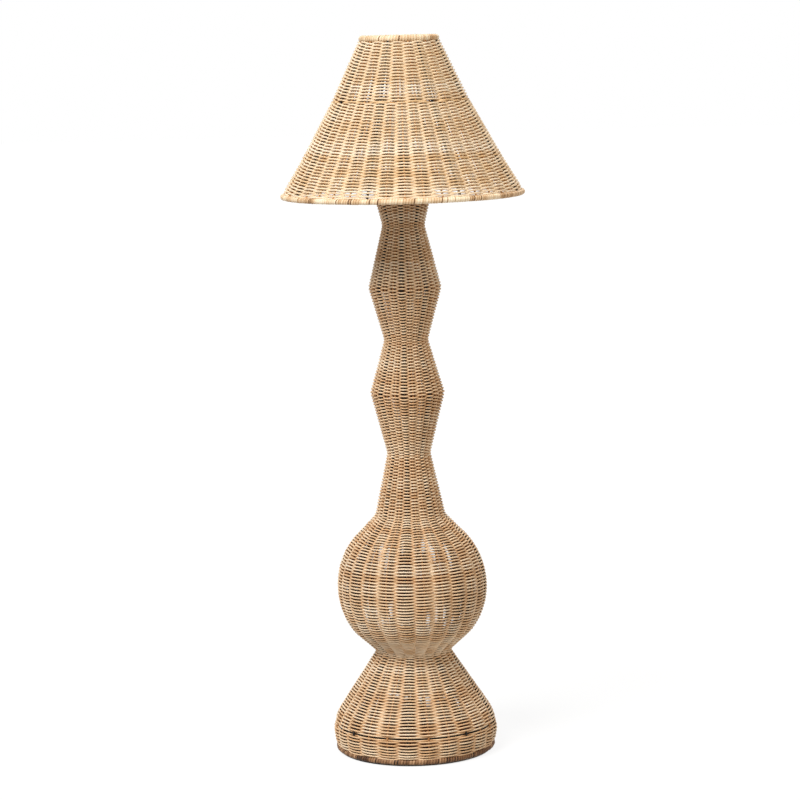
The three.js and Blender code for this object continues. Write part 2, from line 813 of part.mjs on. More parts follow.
add(body_group, "upper_nipple", nipple(tube_top - nipple_grip, high_nipple_top), zinc_steel);
const top_plate = tube(nipple_hole_radius, top_plate_radius, plate_bottom, plate_top, woven_facets);
add(body_group, "top_plate", top_plate, black_steel);
add(body_group, "upper_washer", flatWasher(plate_top + seat_gap), zinc_steel);
add(body_group, "upper_nut", nut(top_nut_bottom), zinc_steel);

add(body_group, "holder_cap", holderCap(), black_plastic);
add(body_group, "holder_skirt", holderSkirt(), black_plastic);
const insert_radius = skirt_bore_radius - 2 * seat_gap;
add(body_group, "holder_insert", disc(insert_radius, insert_bottom, insert_top, small_facets), ceramic);
add(body_group, "screw_shell", screwShell(), brass);
const tongue_bottom = insert_top + seat_gap;
const tongue = disc(tongue_radius, tongue_bottom, tongue_bottom + tongue_thickness, small_facets);
add(body_group, "contact_tongue", tongue, brass);
add(body_group, "lower_shade_ring", shadeRing(lower_ring_top, lower_ring_bottom), black_plastic);
add(body_group, "upper_shade_ring", shadeRing(upper_ring_bottom, upper_ring_top), black_plastic);

const tip_top = bulb_bottom + bulb_tip_height;
add(body_group, "bulb_tip", disc(bulb_tip_radius, bulb_bottom, tip_top, small_facets), cap_metal);
add(body_group, "bulb_cap", bulbCap(), cap_metal);
add(body_group, "bulb_housing", bulbHousing(), white_plastic);
add(body_group, "bulb_globe", bulbGlobe(), opal);

add(shade_group, "shade_weave", shadeWeave(), shade_cane);
add(shade_group, "shade_frame", shadeFrame(), black_steel);
const shade_foot_edge = binding(shade_foot_ring, shade_rib_line[1], shade_foot_binding_radius, woven_facets);
add(shade_group, "shade_foot_binding", shade_foot_edge, binding_cane);
const shade_below_top = shade_rib_line[shade_rib_line.length - 2];
const shade_top_edge = binding(shade_top_ring, shade_below_top, shade_top_binding_radius, 2 * rib_count);
add(shade_group, "shade_top_binding", shade_top_edge, binding_cane);
add(shade_group, "shade_spider", shadeSpider(), black_steel);

export default lamp;
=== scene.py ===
# %% [markdown]
# # A woven floor lamp
# The lamp is woven from round natural cane over a black wire cage: a bell base, a ball, a cone and two
# diamonds, under a flared woven shade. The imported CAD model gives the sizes, the hidden works and the
# moving bodies. This file gives the looks, and every woven row in it is a real rod that passes in front
# of one stake and behind the next.

import json
import math

import bmesh
import bpy
import numpy as np
from mathutils import Matrix, Vector


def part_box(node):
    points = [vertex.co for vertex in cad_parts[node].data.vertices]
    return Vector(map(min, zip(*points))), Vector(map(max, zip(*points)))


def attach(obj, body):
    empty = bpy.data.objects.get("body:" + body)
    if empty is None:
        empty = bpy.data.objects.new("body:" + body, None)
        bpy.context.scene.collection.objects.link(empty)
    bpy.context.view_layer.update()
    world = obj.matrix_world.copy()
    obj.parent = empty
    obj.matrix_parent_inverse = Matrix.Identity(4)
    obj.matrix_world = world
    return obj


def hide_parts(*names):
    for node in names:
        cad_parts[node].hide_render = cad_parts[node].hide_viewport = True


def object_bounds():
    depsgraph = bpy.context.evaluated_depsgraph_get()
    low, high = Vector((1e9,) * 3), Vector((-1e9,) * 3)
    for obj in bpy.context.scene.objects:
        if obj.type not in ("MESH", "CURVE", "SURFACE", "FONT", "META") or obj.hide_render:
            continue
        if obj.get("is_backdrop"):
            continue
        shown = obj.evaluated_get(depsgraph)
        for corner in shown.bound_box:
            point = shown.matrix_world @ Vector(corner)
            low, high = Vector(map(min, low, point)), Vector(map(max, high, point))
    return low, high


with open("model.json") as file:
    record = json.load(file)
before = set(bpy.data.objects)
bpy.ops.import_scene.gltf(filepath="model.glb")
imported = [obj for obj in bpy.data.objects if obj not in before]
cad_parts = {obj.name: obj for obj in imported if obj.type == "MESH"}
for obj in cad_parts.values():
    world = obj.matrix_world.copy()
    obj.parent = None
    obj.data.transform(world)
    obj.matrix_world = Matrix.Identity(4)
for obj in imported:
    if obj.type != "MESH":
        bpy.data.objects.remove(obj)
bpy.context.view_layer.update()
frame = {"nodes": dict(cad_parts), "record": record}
MM = 0.001
TURN = 2 * math.pi

# %% [markdown]
# ## The camera
# The photograph was taken with a long lens from a little above the shade, so the shade's foot and the
# base's foot both show as shallow ovals. The lamp in it leans left by under two degrees while its rims
# stay level. The model stands upright, so the camera is rolled by most of that lean, which puts each
# part of the body where the photograph has it and tilts the rims only a little.

# %% Place the camera
camera_sensor = 36
camera_lens = 127.8
camera_place = Vector((-0.0158, -5.819, 1.531))
camera_tilt = math.radians(7.78)
camera_roll = math.radians(-1.42)
camera = bpy.data.objects.new("camera", bpy.data.cameras.new("camera"))
bpy.context.scene.collection.objects.link(camera)
camera.data.sensor_width = camera_sensor
camera.data.lens = camera_lens
camera.matrix_world = (
    Matrix.Translation(camera_place)
    @ Matrix.Rotation(math.pi / 2 - camera_tilt, 4, "X")
    @ Matrix.Rotation(camera_roll, 4, "Z")
)
bpy.context.scene.camera = camera
print("camera at", [round(v, 3) for v in camera_place], "m, lens", camera_lens, "mm")

# %% [markdown]
# ## Helpers for shader maths
# A material is a small program made of nodes. Writing each node by hand hides the idea, so one class
# wraps an output socket and overloads the operators: `1 - mask` or `noise * 0.3 + 0.5` then adds the
# Math nodes that it needs.

# %% A socket that can be used in a sum
class Value:
    def __init__(self, tree, socket):
        self.tree = tree
        self.socket = socket

    def join(self, operation, other, swapped=False):
        node = self.tree.nodes.new("ShaderNodeMath")
        node.operation = operation
        pair = (other, self) if swapped else (self, other)
        for socket, item in zip(node.inputs, pair):
            if isinstance(item, Value):
                self.tree.links.new(item.socket, socket)
            else:
                socket.default_value = item
        return Value(self.tree, node.outputs[0])

    def __add__(self, other):
        return self.join("ADD", other)

    __radd__ = __add__

    def __sub__(self, other):
        return self.join("SUBTRACT", other)

    def __rsub__(self, other):
        return self.join("SUBTRACT", other, swapped=True)

    def __mul__(self, other):
        return self.join("MULTIPLY", other)

    __rmul__ = __mul__

    def clamped(self):
        return self.join("MAXIMUM", 0.0).join("MINIMUM", 1.0)


# %% [markdown]
# The next class adds nodes to a tree. Its method `node` makes any node from its type, its settings and
# the values or links of its sockets. The settings go in first, because they can change which sockets a
# node has. Colours are written as they look on a screen and turned to the linear values that the
# renderer works in.

# %% Any node of a tree
def linear(colour):
    """A screen colour with the screen's own curve undone, by the curve's standard constants."""
    return tuple(c / 12.92 if c <= 0.04045 else ((c + 0.055) / 1.055) ** 2.4 for c in colour) + (1.0,)


def set_stops(ramp, stops):
    elements = ramp.elements
    while len(elements) < len(stops):
        elements.new(0.5)
    for element, (position, colour) in zip(elements, stops):
        element.position = position
        element.color = linear(colour)


class Nodes:
    def __init__(self, tree):
        self.tree = tree

    def node(self, kind, sockets=None, settings=None, output=0):
        node = self.tree.nodes.new(kind)
        for name, setting in (settings or {}).items():
            if name == "stops":
                set_stops(node.color_ramp, setting)
            else:
                setattr(node, name, setting)
        for key, item in (sockets or {}).items():
            if isinstance(item, Value):
                self.tree.links.new(item.socket, node.inputs[key])
            else:
                node.inputs[key].default_value = item
        return Value(self.tree, node.outputs[output])


print("half way on a screen is", round(linear((0.5,))[0], 3), "in linear light")

# %% [markdown]
# A finish is a material round one Principled shader. Its methods are what natural stuff needs most:
# noise that can be stretched, the tone that each rod carries, a colour ramp, one colour multiplied by
# another, and a bump. A Mix node has sockets of its own for numbers, vectors and colours, which share
# their names, so the ones for colours are called by number.

# %% A material and what finishes share
unstretched = (1, 1, 1)
mix_share, mix_first, mix_second, mix_colour = 0, 6, 7, 2


class Finish(Nodes):
    def __init__(self, name, roughness, metallic=0.0, specular=0.5):
        self.material = bpy.data.materials.new(name)
        self.material.use_nodes = True
        super().__init__(self.material.node_tree)
        self.shader = self.tree.nodes["Principled BSDF"]
        fixed = {"Roughness": roughness, "Metallic": metallic, "Specular IOR Level": specular}
        for key, value in fixed.items():
            self.shader.inputs[key].default_value = value

    def place(self, stretch=unstretched):
        spot = self.node("ShaderNodeTexCoord", output="Object")
        return self.node("ShaderNodeMapping", {"Vector": spot, "Scale": stretch})

    def noise(self, scale, detail=3.0, stretch=unstretched, roughness=0.5):
        sockets = {"Vector": self.place(stretch), "Scale": scale, "Detail": detail, "Roughness": roughness}
        return self.node("ShaderNodeTexNoise", sockets)

    def tone(self):
        return self.node("ShaderNodeAttribute", settings={"attribute_name": "tone"}, output="Fac")

    def colours(self, value, *stops):
        return self.node("ShaderNodeValToRGB", {"Fac": value}, {"stops": stops})

    def multiplied(self, share, first, second):
        sockets = {mix_share: share, mix_first: first, mix_second: second}
        settings = {"data_type": "RGBA", "blend_type": "MULTIPLY"}
        return self.node("ShaderNodeMix", sockets, settings, mix_colour)

    def feed(self, **inputs):
        for name, value in inputs.items():
            self.tree.links.new(value.socket, self.shader.inputs[name.replace("_", " ")])

    def bump(self, height, depth, strength):
        sockets = {"Height": height, "Distance": depth, "Strength": strength}
        self.feed(Normal=self.node("ShaderNodeBump", sockets))


# %% [markdown]
# ## Cane
# Peeled core cane is the pith of a climbing palm, drawn through a die: pale straw, with fine fibres along
# the rod, warmer stretches and a few tan ones. The fibres are noise stretched along the rows, which lie
# level, so the noise is fine in height and coarse sideways. A picture could be laid round each rod
# instead, but noise needs no seam. Each rod carries a tone of its own as a mesh attribute, because no
# two canes match, and where it dives behind a stake the tone goes deeper, which is painted shade for
# the slits.

# %% Mix a cane finish
along_rows = (1, 1, 42)
up_the_wall = (30, 30, 1)
cane_roughness = 0.55
tone_share = 0.3
patch_share = 0.3
mottle_share = 0.16
fibre_share = 0.2
shade_start = 0.16
cane_stops = (0.06, 0.32, 0.56, 0.9)
streak_stops = (0.35, 0.6)
streak_colours = ((0.8, 0.74, 0.68), (1, 1, 1))
streak_share = 0.4
fibre_gloss = 0.3
fibre_depth = 0.25 * MM


def cane_finish(name, pale, middle, warm, deep, fibres_run=along_rows):
    finish = Finish(name, cane_roughness, specular=0.2)
    fibres = finish.noise(scale=26.0, detail=2.0, stretch=fibres_run, roughness=0.6)
    patches = finish.noise(scale=8.0, detail=2.0, stretch=(1, 1, 5))
    mottle = finish.noise(scale=90.0)
    shade = (finish.tone() * tone_share + patches * patch_share + mottle * mottle_share
             + fibres * fibre_share - shade_start)
    colour = finish.colours(shade.clamped(), *zip(cane_stops, (pale, middle, warm, deep)))
    streak = finish.colours(fibres, *zip(streak_stops, streak_colours))
    finish.feed(Base_Color=finish.multiplied(streak_share, colour, streak))
    finish.feed(Roughness=(fibres * fibre_gloss + (cane_roughness - fibre_gloss / 2)).clamped())
    finish.bump(fibres, fibre_depth, strength=0.5)
    return finish.material


# %% [markdown]
# The shade's cane is paler than the body's, and the foot's binding is the darkest. The stakes are given
# a tanner cane than the rows that hide them, which paints in the shade of the slits that they stand in.

# %% Cane finishes
body_cane = cane_finish("body_cane", pale=(0.925, 0.87, 0.785), middle=(0.885, 0.78, 0.645),
                        warm=(0.8, 0.635, 0.46), deep=(0.36, 0.17, 0.055))
shade_cane = cane_finish("shade_cane", pale=(0.97, 0.915, 0.83), middle=(0.935, 0.845, 0.715),
                         warm=(0.86, 0.715, 0.52), deep=(0.5, 0.3, 0.12))
# The stakes' tanner colours are painted shade of the slits.
stake_cane = cane_finish("stake_cane", pale=(0.76, 0.58, 0.4), middle=(0.66, 0.48, 0.31),
                         warm=(0.54, 0.36, 0.2), deep=(0.36, 0.2, 0.09), fibres_run=up_the_wall)
shade_stake_cane = cane_finish("shade_stake_cane", pale=(0.88, 0.7, 0.5), middle=(0.8, 0.61, 0.41),
                               warm=(0.68, 0.47, 0.28), deep=(0.48, 0.3, 0.14), fibres_run=up_the_wall)
rim_cane = cane_finish("shade_rim_cane", pale=(0.98, 0.92, 0.81), middle=(0.92, 0.82, 0.68),
                       warm=(0.8, 0.65, 0.48), deep=(0.36, 0.23, 0.12), fibres_run=up_the_wall)
foot_cane = cane_finish("foot_rim_cane", pale=(0.77, 0.63, 0.49), middle=(0.56, 0.42, 0.3),
                        warm=(0.37, 0.25, 0.155), deep=(0.15, 0.09, 0.045), fibres_run=up_the_wall)
canes = (body_cane, shade_cane, stake_cane, shade_stake_cane, rim_cane, foot_cane)
print("cane finishes:", [cane.name for cane in canes])

# %% [markdown]
# ## The wall's outline
# Everything woven follows one line: the centre line of the cage's ribs, seen from the side. The outline
# is written in millimetres as the outer radius and the height of each ring, as on the CAD model, with a
# true arc for the base's shoulder and for the ball.

# %% Outline of the body and of the shade
def arc(centre, radius, start, end, count=40):
    angles = np.radians(np.linspace(start, end, count))
    return [(centre[0] + radius * math.cos(a), centre[1] + radius * math.sin(a)) for a in angles]


base_foot = (166, 8)
base_bulge = (171.8, 40)
shoulder_radius = 90
shoulder_end = 34
slit_angle = shoulder_end / 3
base_waist = (78.5, 210)
ball_middle = (0, 347.5)
ball_radius = 156.6
ball_start, ball_end = -38.5, 47
neck_foot = (73.8, 497)
lower_waist = (45.6, 626)
lower_diamond = (78, 752.5)
middle_waist = (46, 861.5)
upper_diamond = (76.3, 970)
upper_waist = (44.3, 1098)
collar_top = (69.5, 1203)
shoulder_centre = (base_bulge[0] - shoulder_radius, base_bulge[1])
base_slit = arc(shoulder_centre, shoulder_radius, slit_angle, shoulder_end)[0]
body_points = [
    base_foot, *arc(shoulder_centre, shoulder_radius, 0, shoulder_end), base_waist,
    *arc(ball_middle, ball_radius, ball_start, ball_end), neck_foot, lower_waist, lower_diamond,
    middle_waist, upper_diamond, upper_waist, collar_top,
]

shade_foot = (249.8, 1165)
shade_flare = (209.9, 1230)
shade_bend = (142, 1352)
shade_top = (80.5, 1481)
shade_points = [shade_foot, shade_flare, shade_bend, shade_top]
print("slit at", [round(v, 1) for v in base_slit], "mm, outline of", len(body_points), "points")

# %% [markdown]
# Cane can't turn a sharp corner, so the outline is smoothed over a few millimetres. A spline through the
# rings would swing past the corners, and a running mean never does. The first step is to turn the corners
# into a line of even steps.

# %% Step along a line and smooth it
line_step = 0.5 * MM


def length_along(line):
    return np.concatenate([[0], np.cumsum(np.hypot(*np.diff(line, axis=0).T))])


def even_steps(corners):
    length = length_along(corners)
    steps = np.arange(0, length[-1], line_step)
    return np.stack([np.interp(steps, length, corners[:, k]) for k in (0, 1)], axis=1)


def running_mean(line, soften):
    """The mean under a bell-shaped window, with the ends mirrored so that they stay in place."""
    reach = round(soften / line_step)
    window = np.hanning(2 * reach + 3)[1:-1]
    window /= window.sum()
    below = 2 * line[0] - line[reach:0:-1]
    above = 2 * line[-1] - line[-2:-reach - 2:-1]
    longer = np.concatenate([below, line, above])
    return np.stack([np.convolve(longer[:, k], window, "valid") for k in (0, 1)], axis=1)


print("body outline in", len(even_steps(np.array(body_points) * MM)), "steps of", line_step / MM, "mm")

# %% [markdown]
# A wall is that line moved in from the outside to the ribs, and measured along its own length so that
# rows can be laid at an even pitch. It can be asked for the point at any length, and for the length at
# any height.

# %% A wall that can be asked for a point at any length
rib_inset = 5.8 * MM
body_soften = 8 * MM
shade_soften = 6 * MM


class Wall:
    """The rib line of a woven wall, known by its length from the foot."""

    def __init__(self, points, soften):
        line = running_mean(even_steps(np.array(points) * MM), soften)
        along = np.gradient(line, axis=0)
        along /= np.hypot(*along.T)[:, None]
        self.inward = np.stack([-along[:, 1], along[:, 0]], axis=1)
        self.line = line + self.inward * rib_inset
        self.s = length_along(self.line)
        self.length = float(self.s[-1])

    def at(self, s, out=0.0):
        """Radius and height at length s, moved square to the wall by out."""
        r = np.interp(s, self.s, self.line[:, 0]) - out * np.interp(s, self.s, self.inward[:, 0])
        z = np.interp(s, self.s, self.line[:, 1]) - out * np.interp(s, self.s, self.inward[:, 1])
        return r, z

    def where(self, ring):
        """Length at the height of a ring of the outline."""
        return float(np.interp(ring[1] * MM, self.line[:, 1], self.s))


body_wall = Wall(body_points, body_soften)
shade_wall = Wall(shade_points, shade_soften)
print("body wall", round(body_wall.length / MM), "mm, shade wall", round(shade_wall.length / MM), "mm")

# %% [markdown]
# ## Rods from curves
# A cane is a round rod along a path. A mesh operator can't sweep one along a wave, but a curve with a
# round bevel does, so each row is a closed curve and a whole section becomes one mesh at once. The mesh
# keeps the order of the points, so each rod can then be given its own tone as an attribute.

# %% Make rods along paths
def set_tone(mesh, values):
    attribute = mesh.attributes.get("tone") or mesh.attributes.new("tone", "FLOAT", "POINT")
    attribute.data.foreach_set("value", np.asarray(values, np.float32))


def rods(name, paths, radius, closed, bevel=1, tones=None):
    data = bpy.data.curves.new(name, "CURVE")
    data.dimensions = "3D"
    data.bevel_depth = radius
    data.bevel_resolution = bevel
    data.use_fill_caps = not closed
    for path in paths:
        spline = data.splines.new("POLY")
        spline.points.add(len(path) - 1)
        spots = np.ones((len(path), 4))
        spots[:, :3] = path
        spline.points.foreach_set("co", spots.ravel())
        spline.use_cyclic_u = closed
        spline.use_smooth = True
    curve = bpy.data.objects.new(name + "_curve", data)
    bpy.context.scene.collection.objects.link(curve)
    bpy.context.view_layer.update()
    mesh = bpy.data.meshes.new_from_object(curve.evaluated_get(bpy.context.evaluated_depsgraph_get()))
    mesh.name = name
    bpy.data.objects.remove(curve)
    bpy.data.curves.remove(data)
    piece = bpy.data.objects.new(name, mesh)
    bpy.context.scene.collection.objects.link(piece)
    if tones is not None:
        each_point = np.concatenate([np.broadcast_to(tone, len(path)) for tone, path in zip(tones, paths)])
        sides = len(mesh.vertices) // len(each_point)
        set_tone(mesh, np.resize(np.repeat(each_point, sides), len(mesh.vertices)))
    return piece


# %% [markdown]
# Shade also falls along each cane, on the sides where it lies against its neighbours, and it is painted
# in. A second material there would end in a hard line, so the tone is deepened instead, by how squarely
# each side of the rod faces the row above or below.

# %% Paint shade on the sides of the rows
shaded_side = 0.6


def shade_row_edges(piece, paths, depth):
    """Paints shade on closed rows: deepens their tone on the sides where they lie against the rows above
    and below.
    """
    line = np.array(paths)
    upward = np.gradient(line, axis=0)
    upward[1:-1] = line[2:] - line[:-2]
    upward /= np.linalg.norm(upward, axis=2, keepdims=True)
    spots = np.empty(3 * len(piece.data.vertices))
    piece.data.vertices.foreach_get("co", spots)
    offset = spots.reshape(*line.shape[:2], -1, 3) - line[:, :, None]
    offset /= np.linalg.norm(offset, axis=3, keepdims=True)
    edge = np.abs((offset * upward[:, :, None]).sum(axis=3))
    tone = np.empty(len(piece.data.vertices))
    piece.data.attributes["tone"].data.foreach_get("value", tone)
    set_tone(piece.data, tone + depth * np.clip(edge - shaded_side, 0, 1).ravel() / (1 - shaded_side))


# %% [markdown]
# Every piece is handed over in the same way: it gets its finish, the body that carries it when the lamp
# moves, and the CAD nodes whose place it takes.

# %% Hand over a piece
def place_piece(piece, material, body, slot, *nodes):
    """Gives a piece its finish, the body that carries it, and the CAD nodes that it stands for."""
    piece.data.materials.clear()
    piece.data.materials.append(material)
    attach(piece, body)
    if nodes:
        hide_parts(*nodes)
    faces = sum(len(p.vertices) - 2 for p in piece.data.polygons)
    print(f"{piece.name}: {faces} triangles on {body}")


# %% [markdown]
# ## The weave
# This is plain chasing weave: each row passes in front of one stake and behind the next, and the row
# above it does the opposite. Over a stake the rows in front lie two pitches apart, and the dark slit
# between them shows the stake. Halfway between two stakes all rows cross the wall's middle and pack
# tight. A row is therefore a closed ring whose distance from the wall swings with the stakes, and
# whose sign changes from row to row. A picture or a bump on a smooth wall would be quicker, but it has
# no slits to see through. Slow waves in height keep the rows from looking machined, since a hand weaver
# never beats them down quite evenly.

# %% Slow waves and tones
chance = np.random.default_rng(7)
wave_count = 9
waves_around = (1, 6)
waves_along = (6, 34)
tone_beta = 2.2
tone_change = 0.12
rows_of_a_pair = (3, 9)


def slow_waves(reach):
    """A smooth height over angle and length that never repeats to the eye."""
    around = chance.integers(*waves_around, wave_count)
    along = chance.uniform(*waves_along, wave_count)
    phase = chance.uniform(0, TURN, (2, wave_count))

    def height(angle, s):
        waves = np.cos(np.multiply.outer(angle, around) + phase[0]) * np.cos(s * along + phase[1])
        return reach / math.sqrt(wave_count) * waves.sum(axis=-1)

    return height


def row_tones(count):
    """A pair of canes runs for a few rows, and then new ones are laid in."""
    tones = []
    while len(tones) < count:
        pair = chance.beta(tone_beta, tone_beta, 2)
        run = chance.integers(*rows_of_a_pair)
        tones += [pair[k % 2] + chance.normal(0, tone_change) for k in range(run)]
    return tones[:count]


# %% [markdown]
# A row swings out and in by a little more than its own thickness. The swing is a cosine with fuller tops,
# since cane lies along a stake before it turns behind it. It is widest at the eight steel ribs, where a
# row that dives behind also gets the most painted shade. No hand pulls every turn alike, so each pair
# of stakes gets its own share of the swing.

# %% Swing of a row round the wall
rib_count = 8
swing = 4.25 * MM
swing_shape = 0.85
cane_swing = 0.8
uneven_swing = (0.92, 1.04)
uneven_window = 7


def swing_round(angle, stakes, turn):
    """The swing at each angle, and how near the angle is to a steel rib."""
    lobes = np.cos(stakes / 2 * (angle - turn))
    near_rib = 0.5 + 0.5 * np.cos(rib_count * (angle - turn))
    fullness = np.sign(lobes) * np.abs(lobes) ** swing_shape
    return fullness * (cane_swing + (1 - cane_swing) * near_rib), near_rib


def uneven_hand(stakes, steps):
    """A share of the swing for each pair of stakes, eased from one pair to the next."""
    shares = np.repeat(chance.uniform(*uneven_swing, stakes // 2), steps)
    half = uneven_window // 2
    shares = np.concatenate([shares[-half:], shares, shares[:half]])
    return np.convolve(shares, np.ones(uneven_window) / uneven_window, "valid")


print("a row swings", swing / MM, "mm at a rib and", round(swing * cane_swing / MM, 1), "mm at a cane")

# %% [markdown]
# The rows are laid from the foot up, a pitch apart, and each knows its length up the wall. Near a bound
# edge the slow waves die out, and at the foot of the base and of the shade the weaver also packs the rows
# flat, so the swing fades there. Where two sections join, at the slit of the base and at the bend of the
# shade, the rows next to the joint are pulled tight and swing less. A row that dives behind a stake gets
# a deeper tone there, which is painted shade.

# %% Lay the rows of a woven wall
# Painted shade where a row dives behind a stake: its share at a cane stake against a rib, and the swing
# where it starts.
cane_slit_shade = 0.5
slit_shade_start = 0.1
edge_ease = 12 * MM
packed_flat = 0.35
twine_reach = 7 * MM
twine_lift = 0.35


def round_axis(r, angle, z):
    """Points from radius, angle and height. Angle 0 is the front."""
    return np.stack(np.broadcast_arrays(r * np.sin(angle), -r * np.cos(angle), z), axis=-1)


def lay_rows(wall, first, last, pitch, stakes, steps, turn, waves, slit_shade, join, twine, parity=0,
             flat_foot=1.0, parted=None):
    """Lengths, points and tones of closed rows from one length of a wall to another."""
    count = round((last - first) / pitch)
    lengths = first + (np.arange(count) + 0.5) * (last - first) / count
    tones = row_tones(count)
    angle = np.linspace(0, TURN, steps * stakes // 2, endpoint=False)
    lobes, near_rib = swing_round(angle, stakes, turn)
    slit_shades = slit_shade * (cane_slit_shade + (1 - cane_slit_shade) * near_rib)
    paths = []
    for row, s in enumerate(lengths):
        side = 1 if (row + parity) % 2 else -1
        from_foot = (s - first) / edge_ease
        height = s + waves(angle, s) * min(1.0, from_foot, (last - s) / edge_ease)
        if parted:
            height = parted(angle, height)
        flat = flat_foot + (1 - flat_foot) * min(1.0, from_foot)
        out = side * flat * lobes * uneven_hand(stakes, steps)
        twined = twine * max(0.0, 1 - abs(s - join) / twine_reach)
        out = out * (1 - twined) + twine_lift * twined
        r, z = wall.at(height, swing * out)
        paths.append(round_axis(r, angle, z))
        # Painted shade: the tone deepens where the row lies behind a stake.
        tones[row] = tones[row] + slit_shades * np.clip(-out - slit_shade_start, 0, 1)
    return lengths, paths, tones


# %% [markdown]
# ## The lead's outlet
# The lead leaves low at the back, through a bush between two stakes. A hole could be cut in the rows, but
# a weaver never cuts them: they are pushed aside, above and below the bush. The rows' heights are pushed
# away from it here in the same way, the more the nearer they pass.

# %% Part the rows round the outlet
body_turn = math.radians(-6)
outlet_angle = body_turn + math.pi + math.pi / rib_count
outlet_level = 24
outlet_part = 7.6 * MM
outlet_length = body_wall.where((0, outlet_level))
outlet_radius = body_wall.at(outlet_length)[0]
never_zero = 1e-9


def part_round_outlet(angle, height):
    across = outlet_radius * np.sin((angle - outlet_angle) / 2) * 2
    up = height - outlet_length
    reach = np.hypot(across, up) + never_zero
    return outlet_length + up * np.cbrt(reach ** 3 + outlet_part ** 3) / reach


print("outlet", round(outlet_length / MM, 1), "mm up the wall")

# %% [markdown]
# ## The body's rows
# A dark slit runs round the base, a step up its shoulder. The rows run unbroken from it to the collar,
# and the rows below it make the skirt. One mesh of them all would be too heavy to handle, so they are
# split at the rings, and each part takes the place of its plainer CAD wall.

# %% Weave the body
body_stakes = 24
body_slit = body_wall.where(base_slit)
slit_half = 1.75 * MM
foot_edge = 4.4 * MM
collar_edge = 5.2 * MM
# edge_shade is the painted shade on the sides of each row where it meets the next.
edge_shade = 0.6
# slit_shade sets how much painted shade the body's rows get where they dive behind a stake.
body_weave = dict(wall=body_wall, pitch=3.16 * MM, stakes=body_stakes, steps=12, turn=body_turn,
                  waves=slow_waves(1.05 * MM), slit_shade=4.8, join=body_slit, twine=0.9)
body_look = dict(radius=1.8 * MM, cane=body_cane, body="stand", slot="body_cane")


def woven_piece(name, paths, tones, radius, cane, body, slot, node):
    piece = rods(name, paths, radius, True, tones=tones)
    shade_row_edges(piece, paths, edge_shade)
    place_piece(piece, cane, body, slot, node)


_, skirt_rows, skirt_tones = lay_rows(first=foot_edge, last=body_slit - slit_half, flat_foot=packed_flat,
                                      parted=part_round_outlet, **body_weave)
lengths, rows, tones = lay_rows(first=body_slit + slit_half, last=body_wall.length - collar_edge, parity=1,
                                **body_weave)
woven_piece("base_skirt_canes", skirt_rows, skirt_tones, **body_look, node="base_skirt_weave")
start = 0
for title, node, ring in (
    ("base_bell_canes", "base_weave", base_waist),
    ("ball_canes", "ball_weave", neck_foot),
    ("neck_canes", "neck_weave", lower_waist),
    ("lower_diamond_canes", "lower_diamond_weave", middle_waist),
    ("upper_diamond_canes", "upper_diamond_weave", upper_waist),
    ("collar_canes", "collar_weave", collar_top),
):
    end = int(np.searchsorted(lengths, body_wall.where(ring)))
    woven_piece(title, rows[start:end], tones[start:end], **body_look, node=node)
    start = end

# %% [markdown]
# ## The shade's rows
# The shade is a cone that opens out, so stakes are added at the bend to keep the gaps between them even:
# twenty-four above it and forty below. The last rows above the foot are packed flat.

# %% Weave the shade
shade_turn = math.radians(-17)
shade_stakes_above = 24
shade_stakes_below = 40
shade_foot_edge = 5.6 * MM
shade_top_edge = 7.2 * MM
bend = shade_wall.where(shade_bend)
bend_overlap = 0.35 * MM
# slit_shade sets how much painted shade the shade's rows get where they dive behind a stake.
shade_weave = dict(wall=shade_wall, pitch=3.35 * MM, turn=shade_turn, waves=slow_waves(0.85 * MM),
                   slit_shade=1.9, join=bend, twine=0.25)
shade_look = dict(radius=2.08 * MM, cane=shade_cane, body="shade", slot="shade_cane", node="shade_weave")
below = lay_rows(first=shade_foot_edge, last=bend + bend_overlap, stakes=shade_stakes_below, steps=10,
                 flat_foot=packed_flat, **shade_weave)
above = lay_rows(first=bend - bend_overlap, last=shade_wall.length - shade_top_edge,
                 stakes=shade_stakes_above, steps=12, parity=1, **shade_weave)
for title, (_, paths, tones) in (("shade_lower_canes", below), ("shade_upper_canes", above)):
    woven_piece(title, paths, tones, **shade_look)

# %% [markdown]
# ## Cane stakes
# The upright stakes that the rows are woven on follow the wall's middle line. Every third one of the
# body, and every third or fifth one of the shade, is a steel rib of the cage. The others are canes a
# little thicker than the rows, and their light sides show in the slits. They are rods along curves too,
# open ones with closed ends.

# %% Stand the stakes
stake_radius = 2.15 * MM
stake_step = 6 * MM
stake_end = 1.5 * MM


def upright(wall, angle, first, last):
    s = np.linspace(first, last, max(2, int((last - first) / stake_step)))
    r, z = wall.at(s)
    return round_axis(r, angle, z)


def stand_stakes(name, wall, count, turn, first, last, cane, body, slot):
    """Cane stakes at every place that no steel rib takes."""
    places = [k for k in range(count) if k % (count // rib_count)]
    paths = [upright(wall, turn + TURN * k / count, first, last) for k in places]
    piece = rods(name, paths, stake_radius, False, tones=chance.uniform(0, 1, len(paths)))
    place_piece(piece, cane, body, slot)


stand_stakes("body_stakes", body_wall, body_stakes, body_turn, stake_end, body_wall.length - stake_end,
             stake_cane, "stand", "body_cane")
stand_stakes("shade_lower_stakes", shade_wall, shade_stakes_below, shade_turn, stake_end, bend,
             shade_stake_cane, "shade", "shade_cane")
stand_stakes("shade_upper_stakes", shade_wall, shade_stakes_above, shade_turn, bend,
             shade_wall.length - stake_end, shade_stake_cane, "shade", "shade_cane")

# %% [markdown]
# ## Black powder coat
# Powder coating is baked plastic dust: nearly black, not quite smooth, with a soft shine. One noise gives
# its colour and shine, and a much finer one the orange-peel bump.

